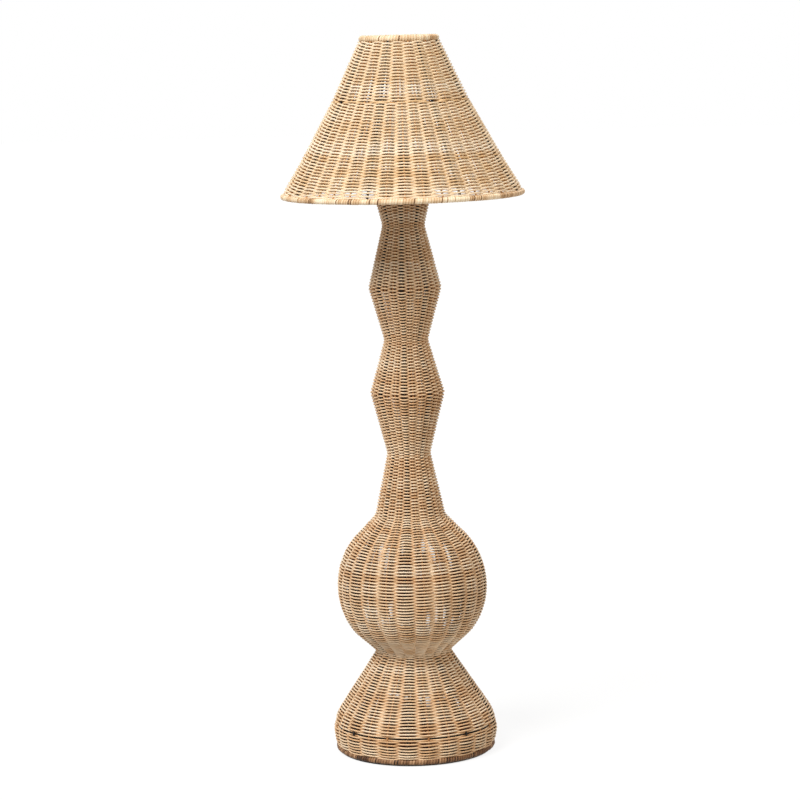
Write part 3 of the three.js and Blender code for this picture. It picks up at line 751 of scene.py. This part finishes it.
# %% Coat the steel
grain_stops = (0.3, 0.7)
powder_colours = ((0.075, 0.058, 0.045), (0.13, 0.105, 0.085))
powder_gloss = 0.3
powder_smoothest = 0.32
orange_peel = 0.08 * MM
powder = Finish("black_powder_coat", roughness=0.45, specular=0.2)
grain = powder.noise(scale=420.0)
powder.feed(Base_Color=powder.colours(grain, *zip(grain_stops, powder_colours)))
powder.feed(Roughness=(grain * powder_gloss + powder_smoothest).clamped())
powder.bump(powder.noise(scale=1400.0, detail=2.0), orange_peel, strength=0.5)
black_powder = powder.material
print(black_powder.name, "has", len(black_powder.node_tree.nodes), "nodes")

# %% [markdown]
# ## Black wire cages
# The steel ribs are eight round wires bent to the same line, with a hoop behind the slit, one inside each
# corner of the outline above it, one round the ball's middle and one at each end. Curves with a round
# bevel make them too. The CAD cage has square wire to keep it light, so this one takes its place.

# %% Bend the cages
wire_radius = 2.5 * MM
wire_bevel = 2
hoop_inset = 4.4 * MM
hoop_points = 96


def hoop(r, z):
    angle = np.linspace(0, TURN, hoop_points, endpoint=False)
    return round_axis(r, angle, z)


def cage(name, wall, turn, corners, body, node):
    ribs = [upright(wall, turn + TURN * k / rib_count, 0, wall.length) for k in range(rib_count)]
    hoops = [hoop(*wall.at(wall.where(ring), -hoop_inset)) for ring in corners]
    hoops += [hoop(*wall.at(s)) for s in (0, wall.length)]
    for title, paths, closed in (("_ribs", ribs, False), ("_hoops", hoops, True)):
        piece = rods(name + title, paths, wire_radius, closed, wire_bevel)
        place_piece(piece, black_powder, body, "black_steel", node)


body_corners = [base_slit, base_waist, ball_middle, neck_foot, lower_waist, lower_diamond, middle_waist,
                upper_diamond, upper_waist]
cage("body_cage", body_wall, body_turn, body_corners, "stand", "body_frame")
cage("shade_cage", shade_wall, shade_turn, [shade_bend], "shade", "shade_frame")

# %% [markdown]
# The cage has a cross of flat bar at each end: the lower one carries the weight and the feet, and the
# upper one the lampholder. A cube with bevelled edges is enough for a bar, drawn out to length.

# %% Cut the cross bars
bar_width = 25 * MM
bar_thickness = 4 * MM
bar_bevel = 0.5 * MM
foot_reach = 160 * MM
holder_reach = 61 * MM
seat_gap = 0.3 * MM
foot_bar_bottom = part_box("base_weight_1")[0].z - seat_gap - bar_thickness
top_bar_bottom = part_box("top_plate")[0].z - seat_gap - bar_thickness


def mesh_piece(name, made, sharp=35):
    """Turns a bmesh into an object with smooth faces and crisp corners."""
    bmesh.ops.recalc_face_normals(made, faces=made.faces[:])
    mesh = bpy.data.meshes.new(name)
    made.to_mesh(mesh)
    made.free()
    mesh.shade_smooth()
    mesh.set_sharp_from_angle(angle=math.radians(sharp))
    piece = bpy.data.objects.new(name, mesh)
    bpy.context.scene.collection.objects.link(piece)
    return piece


def cross_bars(name, reach, bottom):
    made = bmesh.new()
    for angle in (body_turn, body_turn + math.pi / 2):
        cube = bmesh.ops.create_cube(made, size=1)["verts"]
        bmesh.ops.scale(made, vec=(bar_width, 2 * reach, bar_thickness), verts=cube)
        bmesh.ops.translate(made, vec=(0, 0, bottom + bar_thickness / 2), verts=cube)
        bmesh.ops.rotate(made, cent=(0, 0, 0), matrix=Matrix.Rotation(angle, 3, "Z"), verts=cube)
    bmesh.ops.bevel(made, geom=made.edges[:], offset=bar_bevel, segments=2, profile=0.5, affect="EDGES",
                    material=-1)
    place_piece(mesh_piece(name, made), black_powder, "stand", "black_steel", "body_frame")


cross_bars("foot_cross", foot_reach, foot_bar_bottom)
cross_bars("holder_cross", holder_reach, top_bar_bottom)

# %% [markdown]
# ## Bound edges
# Each rim is wound with split cane round the end hoop and the last row: a fat ring of narrow turns,
# with a shallow groove between each turn and the next. A helix of cane would be truer, but thousands of
# its faces would lie hidden. So a circle spun round the axis makes the ring. Every third section is then
# drawn in to make the grooves, and each point is turned a little with its place on the circle, so that
# the turns lean as a winding does. Each turn has its own tone, and every groove is darkened as painted
# shade.

# %% Wind a rim
wrap_sides = 10
wrap_sections = 3
wrap_tone = (1.2, 1.4)
run_wraps = 5
run_spread = 0.3
# groove_shade is painted shade in the grooves between turns; joint_stain is the dark joint where a new cane
# starts.
groove_shade = 0.8
joint_stain = 2
rim_merge = 0.01 * MM
rim_sharp = 60


def wound_rim(name, ring_radius, ring_height, radius, wraps, groove_share, joint_share, loose_wrap):
    steps = wrap_sections * wraps
    made = bmesh.new()
    circle = bmesh.ops.create_circle(made, segments=wrap_sides, radius=radius)["verts"]
    bmesh.ops.rotate(made, cent=(0, 0, 0), matrix=Matrix.Rotation(math.pi / 2, 3, "X"), verts=circle)
    bmesh.ops.translate(made, vec=(ring_radius, 0, ring_height), verts=circle)
    bmesh.ops.spin(made, geom=made.verts[:] + made.edges[:], cent=(0, 0, 0), axis=(0, 0, 1), angle=TURN,
                   steps=steps, use_merge=True)
    bmesh.ops.remove_doubles(made, verts=made.verts[:], dist=rim_merge)
    places = np.array([v.co for v in made.verts])
    angle = np.arctan2(places[:, 1], places[:, 0])
    step = np.round(angle / TURN * steps).astype(int) % steps
    wrap, section = np.divmod(step, wrap_sections)
    across = np.hypot(places[:, 0], places[:, 1]) - ring_radius
    up = places[:, 2] - ring_height
    loose = chance.uniform(-loose_wrap, loose_wrap, wraps)[wrap]
    squeeze = np.where(section == 0, groove_share, 1.0) * (1 + loose)
    lean = np.arctan2(up, across) / wraps
    r = ring_radius + across * squeeze
    z = ring_height + up * squeeze
    for vert, spot in zip(made.verts, zip(r * np.cos(angle + lean), r * np.sin(angle + lean), z)):
        vert.co = spot
    piece = mesh_piece(name, made, rim_sharp)
    runs = np.repeat(chance.normal(0, run_spread, wraps // run_wraps + 1), run_wraps)[:wraps]
    tones = (chance.beta(*wrap_tone, wraps) + runs)[wrap]
    joints = (chance.uniform(0, 1, wraps) < joint_share)[wrap]
    # The grooves get painted shade, and a turn that starts a new cane also gets a dark joint.
    set_tone(piece.data, tones + (groove_shade + joint_stain * joints) * (section == 0))
    return piece


# %% [markdown]
# Four edges are bound: the foot and the collar's top with dark cane, and both ends of the shade with
# pale cane. The foot's turns are the widest and the loosest, since it takes the knocks. Each row below
# gives the edge, its place, the winding's radius, its number of turns, the share of the radius that the
# grooves keep, the share of turns that start a new cane, and how much the turns differ.

# %% Bind the four edges
for edge, wall, s, radius, wraps, groove, joints, loose, cane, body in (
    ("base", body_wall, 0, 5.7, 170, 0.85, 0.2, 0.09, foot_cane, "stand"),
    ("collar", body_wall, body_wall.length, 4.9, 84, 0.9, 0.07, 0.035, foot_cane, "stand"),
    ("shade_foot", shade_wall, 0, 5.6, 280, 0.93, 0.07, 0.04, rim_cane, "shade"),
    ("shade_top", shade_wall, shade_wall.length, 6.8, 84, 0.88, 0.07, 0.04, rim_cane, "shade"),
):
    rim = wound_rim(edge + "_rim", *wall.at(s), radius * MM, wraps, groove, joints, loose)
    place_piece(rim, cane, body, "binding_cane", edge + "_binding")

# %% [markdown]
# ## Finishes of the works
# The hidden works have plain industrial finishes: cast iron, rubber, zinc, moulded plastic, ceramic,
# brass, nickel and opal glass. Each shows a grain or wear close up, coarse on a casting and hardly there
# on glass, and one noise at the right scale gives the colour, the shine and the height.

# %% Metal, rubber, plastic and glass
grain_gloss = 0.25
grain_shine = 0.12


def plain_finish(name, dark, light, scale, rough, metallic=0.0, depth=0.05, stretch=unstretched):
    finish = Finish(name, rough, metallic)
    grain = finish.noise(scale, stretch=stretch)
    finish.feed(Base_Color=finish.colours(grain, *zip(grain_stops, (dark, light))))
    finish.feed(Roughness=(grain * grain_gloss + (rough - grain_shine)).clamped())
    finish.bump(grain, depth * MM, strength=0.4)
    return finish.material


turned_marks = (1, 1, 30)
finishes = {
    "cast_weight": plain_finish("cast_iron", (0.16, 0.16, 0.165), (0.27, 0.27, 0.28), scale=260,
                                rough=0.62, metallic=0.7, depth=0.25),
    "foot_rubber": plain_finish("rubber", (0.05, 0.05, 0.052), (0.09, 0.09, 0.092), scale=700, rough=0.8),
    "zinc_steel": plain_finish("zinc_plate", (0.6, 0.62, 0.64), (0.78, 0.79, 0.8), scale=90, rough=0.34,
                               metallic=1.0, depth=0.02),
    "black_plastic": plain_finish("moulded_black", (0.06, 0.06, 0.062), (0.1, 0.1, 0.102), scale=900,
                                  rough=0.42),
    "holder_ceramic": plain_finish("ceramic", (0.86, 0.84, 0.79), (0.92, 0.9, 0.86), scale=60, rough=0.3,
                                   depth=0.03),
    "contact_brass": plain_finish("brass", (0.7, 0.54, 0.26), (0.84, 0.68, 0.38), scale=120, rough=0.32,
                                  metallic=1.0, depth=0.02, stretch=turned_marks),
    "cap_metal": plain_finish("nickel_cap", (0.7, 0.7, 0.7), (0.85, 0.85, 0.84), scale=120, rough=0.28,
                              metallic=1.0, depth=0.02, stretch=turned_marks),
    "bulb_white": plain_finish("bulb_plastic", (0.88, 0.88, 0.87), (0.94, 0.94, 0.93), scale=300,
                               rough=0.36, depth=0.02),
    "opal_glass": plain_finish("opal_glass", (0.93, 0.92, 0.89), (0.97, 0.965, 0.95), scale=40,
                               rough=0.16, depth=0.01),
    "black_steel": black_powder,
}
slots = {part["node"]: part["material_slot"] for part in frame["record"]["subparts"]}
for name, node in frame["nodes"].items():
    if slots[name] in finishes:
        node.data.materials.clear()
        node.data.materials.append(finishes[slots[name]])
print("finishes:", sorted(finishes))

# %% [markdown]
# ## Turned pieces
# The lampholder, its rings, the bulb, the feet and the outlet bush are all round, so one helper spins a
# half outline about the axis. The outline's corners are rounded first, since a moulded or pressed edge
# is never sharp, and a rounded outline needs no bevel afterwards.

# %% Round the corners of an outline
on_axis = 1e-6
corner_limit = 0.45
corner_cuts = 4


def quarter(first, corner, last, shares):
    """Points on the soft curve from one point to the other, drawn towards the corner."""
    return [first.lerp(corner, t).lerp(corner.lerp(last, t), t) for t in shares]


def rounded(outline, radius):
    """The closed outline with every corner off the axis cut to a small arc."""
    points = [Vector(p) for p in outline]
    soft = []
    for before, corner, after in zip(points[-1:] + points, points, points[1:] + points[:1]):
        if corner.x < on_axis:
            soft.append(corner)
            continue
        cut = min(radius, (corner - before).length * corner_limit, (after - corner).length * corner_limit)
        first = corner + (before - corner).normalized() * cut
        last = corner + (after - corner).normalized() * cut
        soft += quarter(first, corner, last, [k / corner_cuts for k in range(corner_cuts + 1)])
    return soft


print("a square outline gets", len(rounded([(1, 0), (2, 0), (2, 1), (1, 1)], 0.2)), "points")

# %% [markdown]
# An edge of the outline that lies on the axis would spin to nothing, so it is left out, and the points
# on the axis are merged to one pole. The mesh can be shaped further, such as knurled, and moved before
# the piece takes the place of its CAD node, with the finish of that node's slot.

# %% Spin an outline
turned_merge = 0.002 * MM


def turned_piece(name, outline, soften, node, slot, body="stand", steps=48, shape=None, move=None):
    """A closed outline in millimetres (radius, height) spun about the axis, in place of a CAD node."""
    made = bmesh.new()
    verts = [made.verts.new((p.x * MM, 0, p.y * MM)) for p in rounded(outline, soften)]
    pairs = zip(verts, verts[1:] + verts[:1])
    edges = [made.edges.new(pair) for pair in pairs if max(v.co.x for v in pair) > on_axis * MM]
    bmesh.ops.spin(made, geom=verts + edges, cent=(0, 0, 0), axis=(0, 0, 1), angle=TURN, steps=steps,
                   use_merge=True)
    bmesh.ops.remove_doubles(made, verts=made.verts[:], dist=turned_merge)
    if shape:
        shape(made)
    if move:
        made.transform(move)
    place_piece(mesh_piece(name, made), finishes[slot], body, slot, node)


def span(node):
    """Lowest and highest level of a CAD node in millimetres."""
    low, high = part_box(node)
    return low.z / MM, high.z / MM


print("the lampholder spans", [round(v, 1) for v in (span("holder_cap")[0], span("holder_skirt")[1])], "mm")

# %% [markdown]
# ## Lampholder
# The lampholder is a black moulded one in three parts: a cap that screws on the threaded tube, a skirt
# with an outside thread for the shade rings, and a white ceramic insert with the brass shell inside.
# The insert and the shell keep their CAD shapes. The thread is drawn as closed ridges, because a true
# helix looks the same at this size.

# %% Mould the lampholder
holder_radius = 19.7
holder_wall = 2.7
holder_bore = 17
boss_bore = 5.3
boss_radius = 8
boss_height = 5
cap_low, cap_high = span("holder_cap")
cap_middle = (cap_low + boss_height + cap_high) / 2
turned_piece("lampholder_cap", [
    (boss_bore, cap_low), (boss_radius, cap_low), (boss_radius, cap_low + boss_height),
    (holder_bore, cap_middle), (holder_radius, cap_high), (holder_bore, cap_high),
    (holder_bore - holder_wall, cap_middle + holder_wall / 2),
    (boss_bore, cap_low + boss_height + holder_wall),
], soften=1.2, node="holder_cap", slot="black_plastic")

skirt_low, skirt_high = span("holder_skirt")
thread_pitch = 2.0
thread_depth = 0.7
thread_end = 2
mouth_bore = 16.1
mouth_chamfer = 1.5
thread = []
for i in range(int((skirt_high - skirt_low - 2 * thread_end) / thread_pitch)):
    level = skirt_low + thread_end + i * thread_pitch
    thread += [(holder_radius - thread_depth, level), (holder_radius, level + thread_pitch / 2)]
turned_piece("lampholder_skirt", [
    (holder_bore, skirt_low), (holder_radius, skirt_low), *thread,
    (holder_radius - thread_depth, skirt_high - mouth_chamfer),
    (holder_radius - 2 * thread_depth, skirt_high), (mouth_bore, skirt_high),
    (mouth_bore, skirt_high - holder_wall), (holder_bore, skirt_high - holder_wall),
], soften=0.35, node="holder_skirt", slot="black_plastic")

# %% [markdown]
# Two rings screw on the skirt's thread and clamp the shade between them. Each has a sleeve and a flange
# with a knurled rim, so that fingers can turn it. Pushing in every other section of the spun rim makes
# the knurl, with no cutting.

# %% Mould the shade rings
ring_bore = 20.3
ring_sleeve = 23.3
ring_flange = 28.5
flange_thickness = 2.5
knurl_count = 60
knurl_depth = 0.5 * MM
knurl_from = 27.6 * MM


def knurl(made):
    for vert in made.verts:
        r = math.hypot(vert.co.x, vert.co.y)
        step = round(math.atan2(vert.co.y, vert.co.x) / TURN * 2 * knurl_count)
        if r > knurl_from and step % 2:
            vert.co.x *= 1 - knurl_depth / r
            vert.co.y *= 1 - knurl_depth / r


for side in ("lower", "upper"):
    node = side + "_shade_ring"
    low, high = span(node)
    flange, sleeve, inward = (high, low, -1) if side == "lower" else (low, high, 1)
    back = flange + inward * flange_thickness
    turned_piece(node + "_moulded", [
        (ring_bore, flange), (ring_flange, flange), (ring_flange, back), (ring_sleeve, back),
        (ring_sleeve, sleeve), (ring_bore, sleeve),
    ], soften=0.7, node=node, slot="black_plastic", body=side + "_ring", steps=2 * knurl_count, shape=knurl)

# %% [markdown]
# ## Shade fitting
# The shade hangs on the lampholder by a washer plate that the two rings clamp. Four wire arms run from
# it up to the middle hoop of the shade's cage. The plate is spun and the arms are rods, bent where they
# leave the plate.

# %% Weld the shade fitting
plate_radius = 32
plate_thickness = 2
plate_low = span("lower_shade_ring")[1] + seat_gap / MM
plate_high = plate_low + plate_thickness
turned_piece("washer_plate", [
    (ring_bore, plate_low), (plate_radius, plate_low), (plate_radius, plate_high), (ring_bore, plate_high),
], soften=0.4, node="shade_spider", slot="black_steel", body="shade")
arm_count = 4
arm_radius = 2 * MM
arm_level = (plate_low + plate_thickness / 2) * MM
arm_start = Vector((30 * MM, arm_level))
arm_elbow = Vector((36 * MM, arm_level))
arm_end = Vector(shade_wall.at(bend, -hoop_inset))
elbow_before = 5.6 * MM
elbow_after = 7 * MM
elbow_points = 7
arm_angles = [shade_turn + TURN * k / arm_count for k in range(arm_count)]


def arm_path(angle):
    rise = (arm_end - arm_elbow).normalized()
    first = arm_elbow - Vector((elbow_before, 0))
    last = arm_elbow + rise * elbow_after
    line = [arm_start, *quarter(first, arm_elbow, last, np.linspace(0, 1, elbow_points)),
            arm_end - rise * wire_radius]
    return round_axis(np.array([p.x for p in line]), angle, np.array([p.y for p in line]))


arms = rods("shade_arms", [arm_path(angle) for angle in arm_angles], arm_radius, False, wire_bevel)
place_piece(arms, black_powder, "shade", "black_steel", "shade_spider")

# %% [markdown]
# Each arm is welded at both ends. A weld is a small lump of metal with no edges, so a ball that is pressed
# flat a little stands for it.

# %% Lay the weld beads
bead_radius = 3.2 * MM
bead_squash = Matrix.Diagonal((1.1, 0.9, 0.75, 1))
plate_bead = 31 * MM
bead_spots = ((arm_end.x - wire_radius, arm_end.y - arm_radius), (plate_bead, arm_level))
beads = bmesh.new()
for angle in arm_angles:
    for r, z in bead_spots:
        place = Matrix.Translation(round_axis(r, angle, z)) @ bead_squash
        bmesh.ops.create_icosphere(beads, subdivisions=2, radius=bead_radius, matrix=place)
place_piece(mesh_piece("arm_welds", beads, sharp=180), black_powder, "shade", "black_steel", "shade_spider")

# %% [markdown]
# ## Bulb
# The bulb is an ordinary globe lamp, unlit: a nickel cap whose thread shows as rounded ridges, a white
# housing that flares to the globe, and an opal globe. The cap only rises while the housing and globe
# turn as well, which is how the CAD model shares out the screw motion, so its ridges are closed rings.

# %% Press the bulb's cap
cap_low, cap_high = span("bulb_cap")
contact_radius = 9.5
cap_shoulder = 11.8
shoulder_rise = 1.6
cap_root = 12.3
cap_mouth = 12.9
ridge_pitch = 3.629
ridge_count = 5
ridge_root = 12.2
ridge_crest = 13.1
ridge_flat = 0.3
ridge_start = cap_low + 2.4
ridges = [(0, cap_low), (contact_radius, cap_low), (cap_shoulder, cap_low + shoulder_rise)]
for i in range(ridge_count):
    level = ridge_start + i * ridge_pitch
    crest = level + ridge_pitch / 2
    ridges += [(ridge_root, level), (ridge_crest, crest - ridge_flat), (ridge_crest, crest + ridge_flat)]
ridges += [(cap_root, ridge_start + ridge_count * ridge_pitch), (cap_mouth, cap_high), (0, cap_high)]
turned_piece("bulb_screw_cap", ridges, soften=0.5, node="bulb_cap", slot="cap_metal", body="bulb_base")

# %% [markdown]
# The housing's flare is a few points whose corners the spin rounds off. The globe is a true arc outside
# and a second one inside, because opal glass has a thickness that shows at its open foot.

# %% Mould the housing and blow the globe
low, high = span("bulb_housing")
globe_seat = 27
flare = [(14.0, 0), (14.6, 1), (14.6, 9), (17, 14), (21.5, 22), (25, 29)]
turned_piece("bulb_housing_shell", [
    (0, low), *((r, low + up) for r, up in flare), (globe_seat, high), (0, high),
], soften=2.2, node="bulb_housing", slot="bulb_white", body="bulb_head")

low, high = span("bulb_globe")
globe_radius = 30.0
globe_wall = 1.4
globe_mouth = 26.4
globe_centre = (0, high - globe_radius)
foot_angle = math.degrees(math.asin((low - globe_centre[1]) / globe_radius))
skin = arc(globe_centre, globe_radius, foot_angle, 90, 22)[1:]
lining = arc(globe_centre, globe_radius - globe_wall, 90, foot_angle, 16)[:-1]
glass = [(globe_mouth, low), (globe_seat, low), *((max(r, 0), z) for r, z in skin + lining)]
turned_piece("bulb_globe_glass", glass, soften=0.3, node="bulb_globe", slot="opal_glass",
             body="bulb_head", steps=64)

# %% [markdown]
# ## Feet
# Four rubber feet stand under the cross, each with a soft rim, a recess in its sole so that it grips, and
# a plug that is pressed into the bar. They are all one turned outline.

# %% Mould the feet
foot_count = 4
foot_circle = 122 * MM
foot_radius = 12
foot_top = 10
plug_radius = 3
plug_height = 4.0
recess_inner, recess_outer = 5, 6
recess_depth = 1.2
for i in range(foot_count):
    node = f"foot_{i + 1}"
    low, high = span(node)
    pad = high - plug_height
    place = round_axis(foot_circle, body_turn + TURN * i / foot_count, 0)
    turned_piece("rubber_" + node, [
        (0, recess_depth), (recess_inner, recess_depth), (recess_outer, 0), (foot_radius, 0),
        (foot_radius, pad / 2), (foot_top, pad), (plug_radius, pad), (plug_radius, high), (0, high),
    ], soften=1.0, node=node, slot="foot_rubber", steps=40, move=Matrix.Translation(place))

# %% [markdown]
# ## Outlet bush
# The lead's outlet is a black bush through the back of the skirt, with a rounded flange on each side. It
# is turned about the upright axis like the rest, then laid over by a quarter turn and the skirt's lean,
# and moved to the wall's flat between two stakes.

# %% Fit the outlet bush
bush_bore = 4.6
bush_barrel = 6.5
bush_flange = 9
bush_face = 7
bush_inside = -5.3
bush_outside = -0.76
bush_lip = 2
lean = math.atan2(base_bulge[0] - base_foot[0], base_bulge[1] - base_foot[1])
wall_radius = base_foot[0] + (outlet_level - base_foot[1]) * math.tan(lean)
wall_flat = wall_radius * math.cos(math.pi / body_stakes)
laid_over = (
    Matrix.Rotation(outlet_angle, 4, "Z")
    @ Matrix.Translation((0, -wall_flat * MM, outlet_level * MM))
    @ Matrix.Rotation(math.pi / 2 + lean, 4, "X")
)
turned_piece("outlet_bush", [
    (bush_bore, bush_inside), (bush_flange, bush_inside), (bush_flange, bush_inside + bush_lip),
    (bush_barrel, bush_inside + bush_lip), (bush_barrel, bush_outside), (bush_flange, bush_outside),
    (bush_face, bush_outside + bush_lip), (bush_bore, bush_outside + bush_lip),
], soften=0.8, node="lead_outlet", slot="black_plastic", move=laid_over)

# %% [markdown]
# ## Floor and backdrop
# The photograph is a cut-out on pure white. The floor and the world therefore show white to the camera
# and to reflections, while the floor keeps a faint share of real light so that the lamp still casts a
# shadow on it. Under the base it doesn't glow, or it would shine through the weave from inside.

# %% White floor
floor_size = 60
floor_glow = 0.88
floor_shown = 0.95
floor_bounce = 0.5
covered_radius = 158 * MM


def seen_directly(nodes):
    """One for what the camera, a mirror or glass sees, and nought for soft light."""
    camera_ray, glossy_ray, glass_ray = (
        nodes.node("ShaderNodeLightPath", output=ray)
        for ray in ("Is Camera Ray", "Is Glossy Ray", "Is Transmission Ray")
    )
    return (camera_ray + glossy_ray + glass_ray).clamped()


floor_finish = Finish("white_floor", roughness=1.0, specular=0.0)
shown = seen_directly(floor_finish)
floor_finish.feed(Base_Color=shown * (floor_shown - floor_bounce) + floor_bounce)
from_axis = floor_finish.node("ShaderNodeVectorMath", {"Vector": floor_finish.place()},
                              {"operation": "LENGTH"}, "Value")
uncovered = from_axis.join("GREATER_THAN", covered_radius)
lit = Value(floor_finish.tree, floor_finish.shader.outputs[0])
glow = floor_finish.node("ShaderNodeEmission")
mixed = floor_finish.node("ShaderNodeMixShader", {0: shown * uncovered * floor_glow, 1: lit, 2: glow})
floor_finish.tree.links.new(mixed.socket, floor_finish.tree.nodes["Material Output"].inputs[0])
bpy.ops.mesh.primitive_plane_add(size=floor_size)
floor = bpy.context.object
floor.name = "floor"
floor.data.materials.append(floor_finish.material)
floor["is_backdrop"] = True
print("floor of", floor_size, "m, dull within", round(covered_radius / MM), "mm of the axis")

# %% [markdown]
# The world lights the lamp evenly from everywhere, at under a third of the strength at which it shows.
# A dome of lamps could do that too, but the world takes one number.

# %% White world
world_level = 0.3
world = bpy.data.worlds.new("studio")
bpy.context.scene.world = world
world.use_nodes = True
sky = Nodes(world.node_tree)
backdrop = world.node_tree.nodes["Background"]
backdrop.inputs["Color"].default_value = (1, 1, 1, 1)
strength = seen_directly(sky) * (1 - world_level) + world_level
world.node_tree.links.new(strength.socket, backdrop.inputs["Strength"])
print("world of", len(sky.tree.nodes), "nodes")

# %% [markdown]
# ## Lamps of the studio
# A soft key light stands high at the front left, a weak warm fill at the right and one behind for the
# back. Sun lamps are used, since they light the whole height alike as large soft boxes far off would. The
# wider a sun's angle, the softer its shadow.

# %% Light the lamp
def sun(name, azimuth, elevation, power, softness, colour=(1, 1, 1)):
    lamp = bpy.data.objects.new(name, bpy.data.lights.new(name, "SUN"))
    bpy.context.scene.collection.objects.link(lamp)
    lamp.data.energy = power
    lamp.data.color = colour
    lamp.data.angle = math.radians(softness)
    a, e = math.radians(azimuth), math.radians(elevation)
    towards = Vector((math.sin(a) * math.cos(e), -math.cos(a) * math.cos(e), math.sin(e)))
    lamp.rotation_euler = towards.to_track_quat("Z", "Y").to_euler()
    print(f"{name} light of {power} from {azimuth} degrees round and {elevation} up")


sun("key", azimuth=-42, elevation=49, power=3.25, softness=30)
sun("fill", azimuth=38, elevation=24, power=0.88, softness=60, colour=(1, 0.86, 0.67))
sun("back", azimuth=170, elevation=45, power=1.1, softness=60)
bpy.context.scene.view_settings.view_transform = "Standard"

# %% Measure the visual box
low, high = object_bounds()
print("visual box in mm:", [round(v / MM) for v in (high - low)])
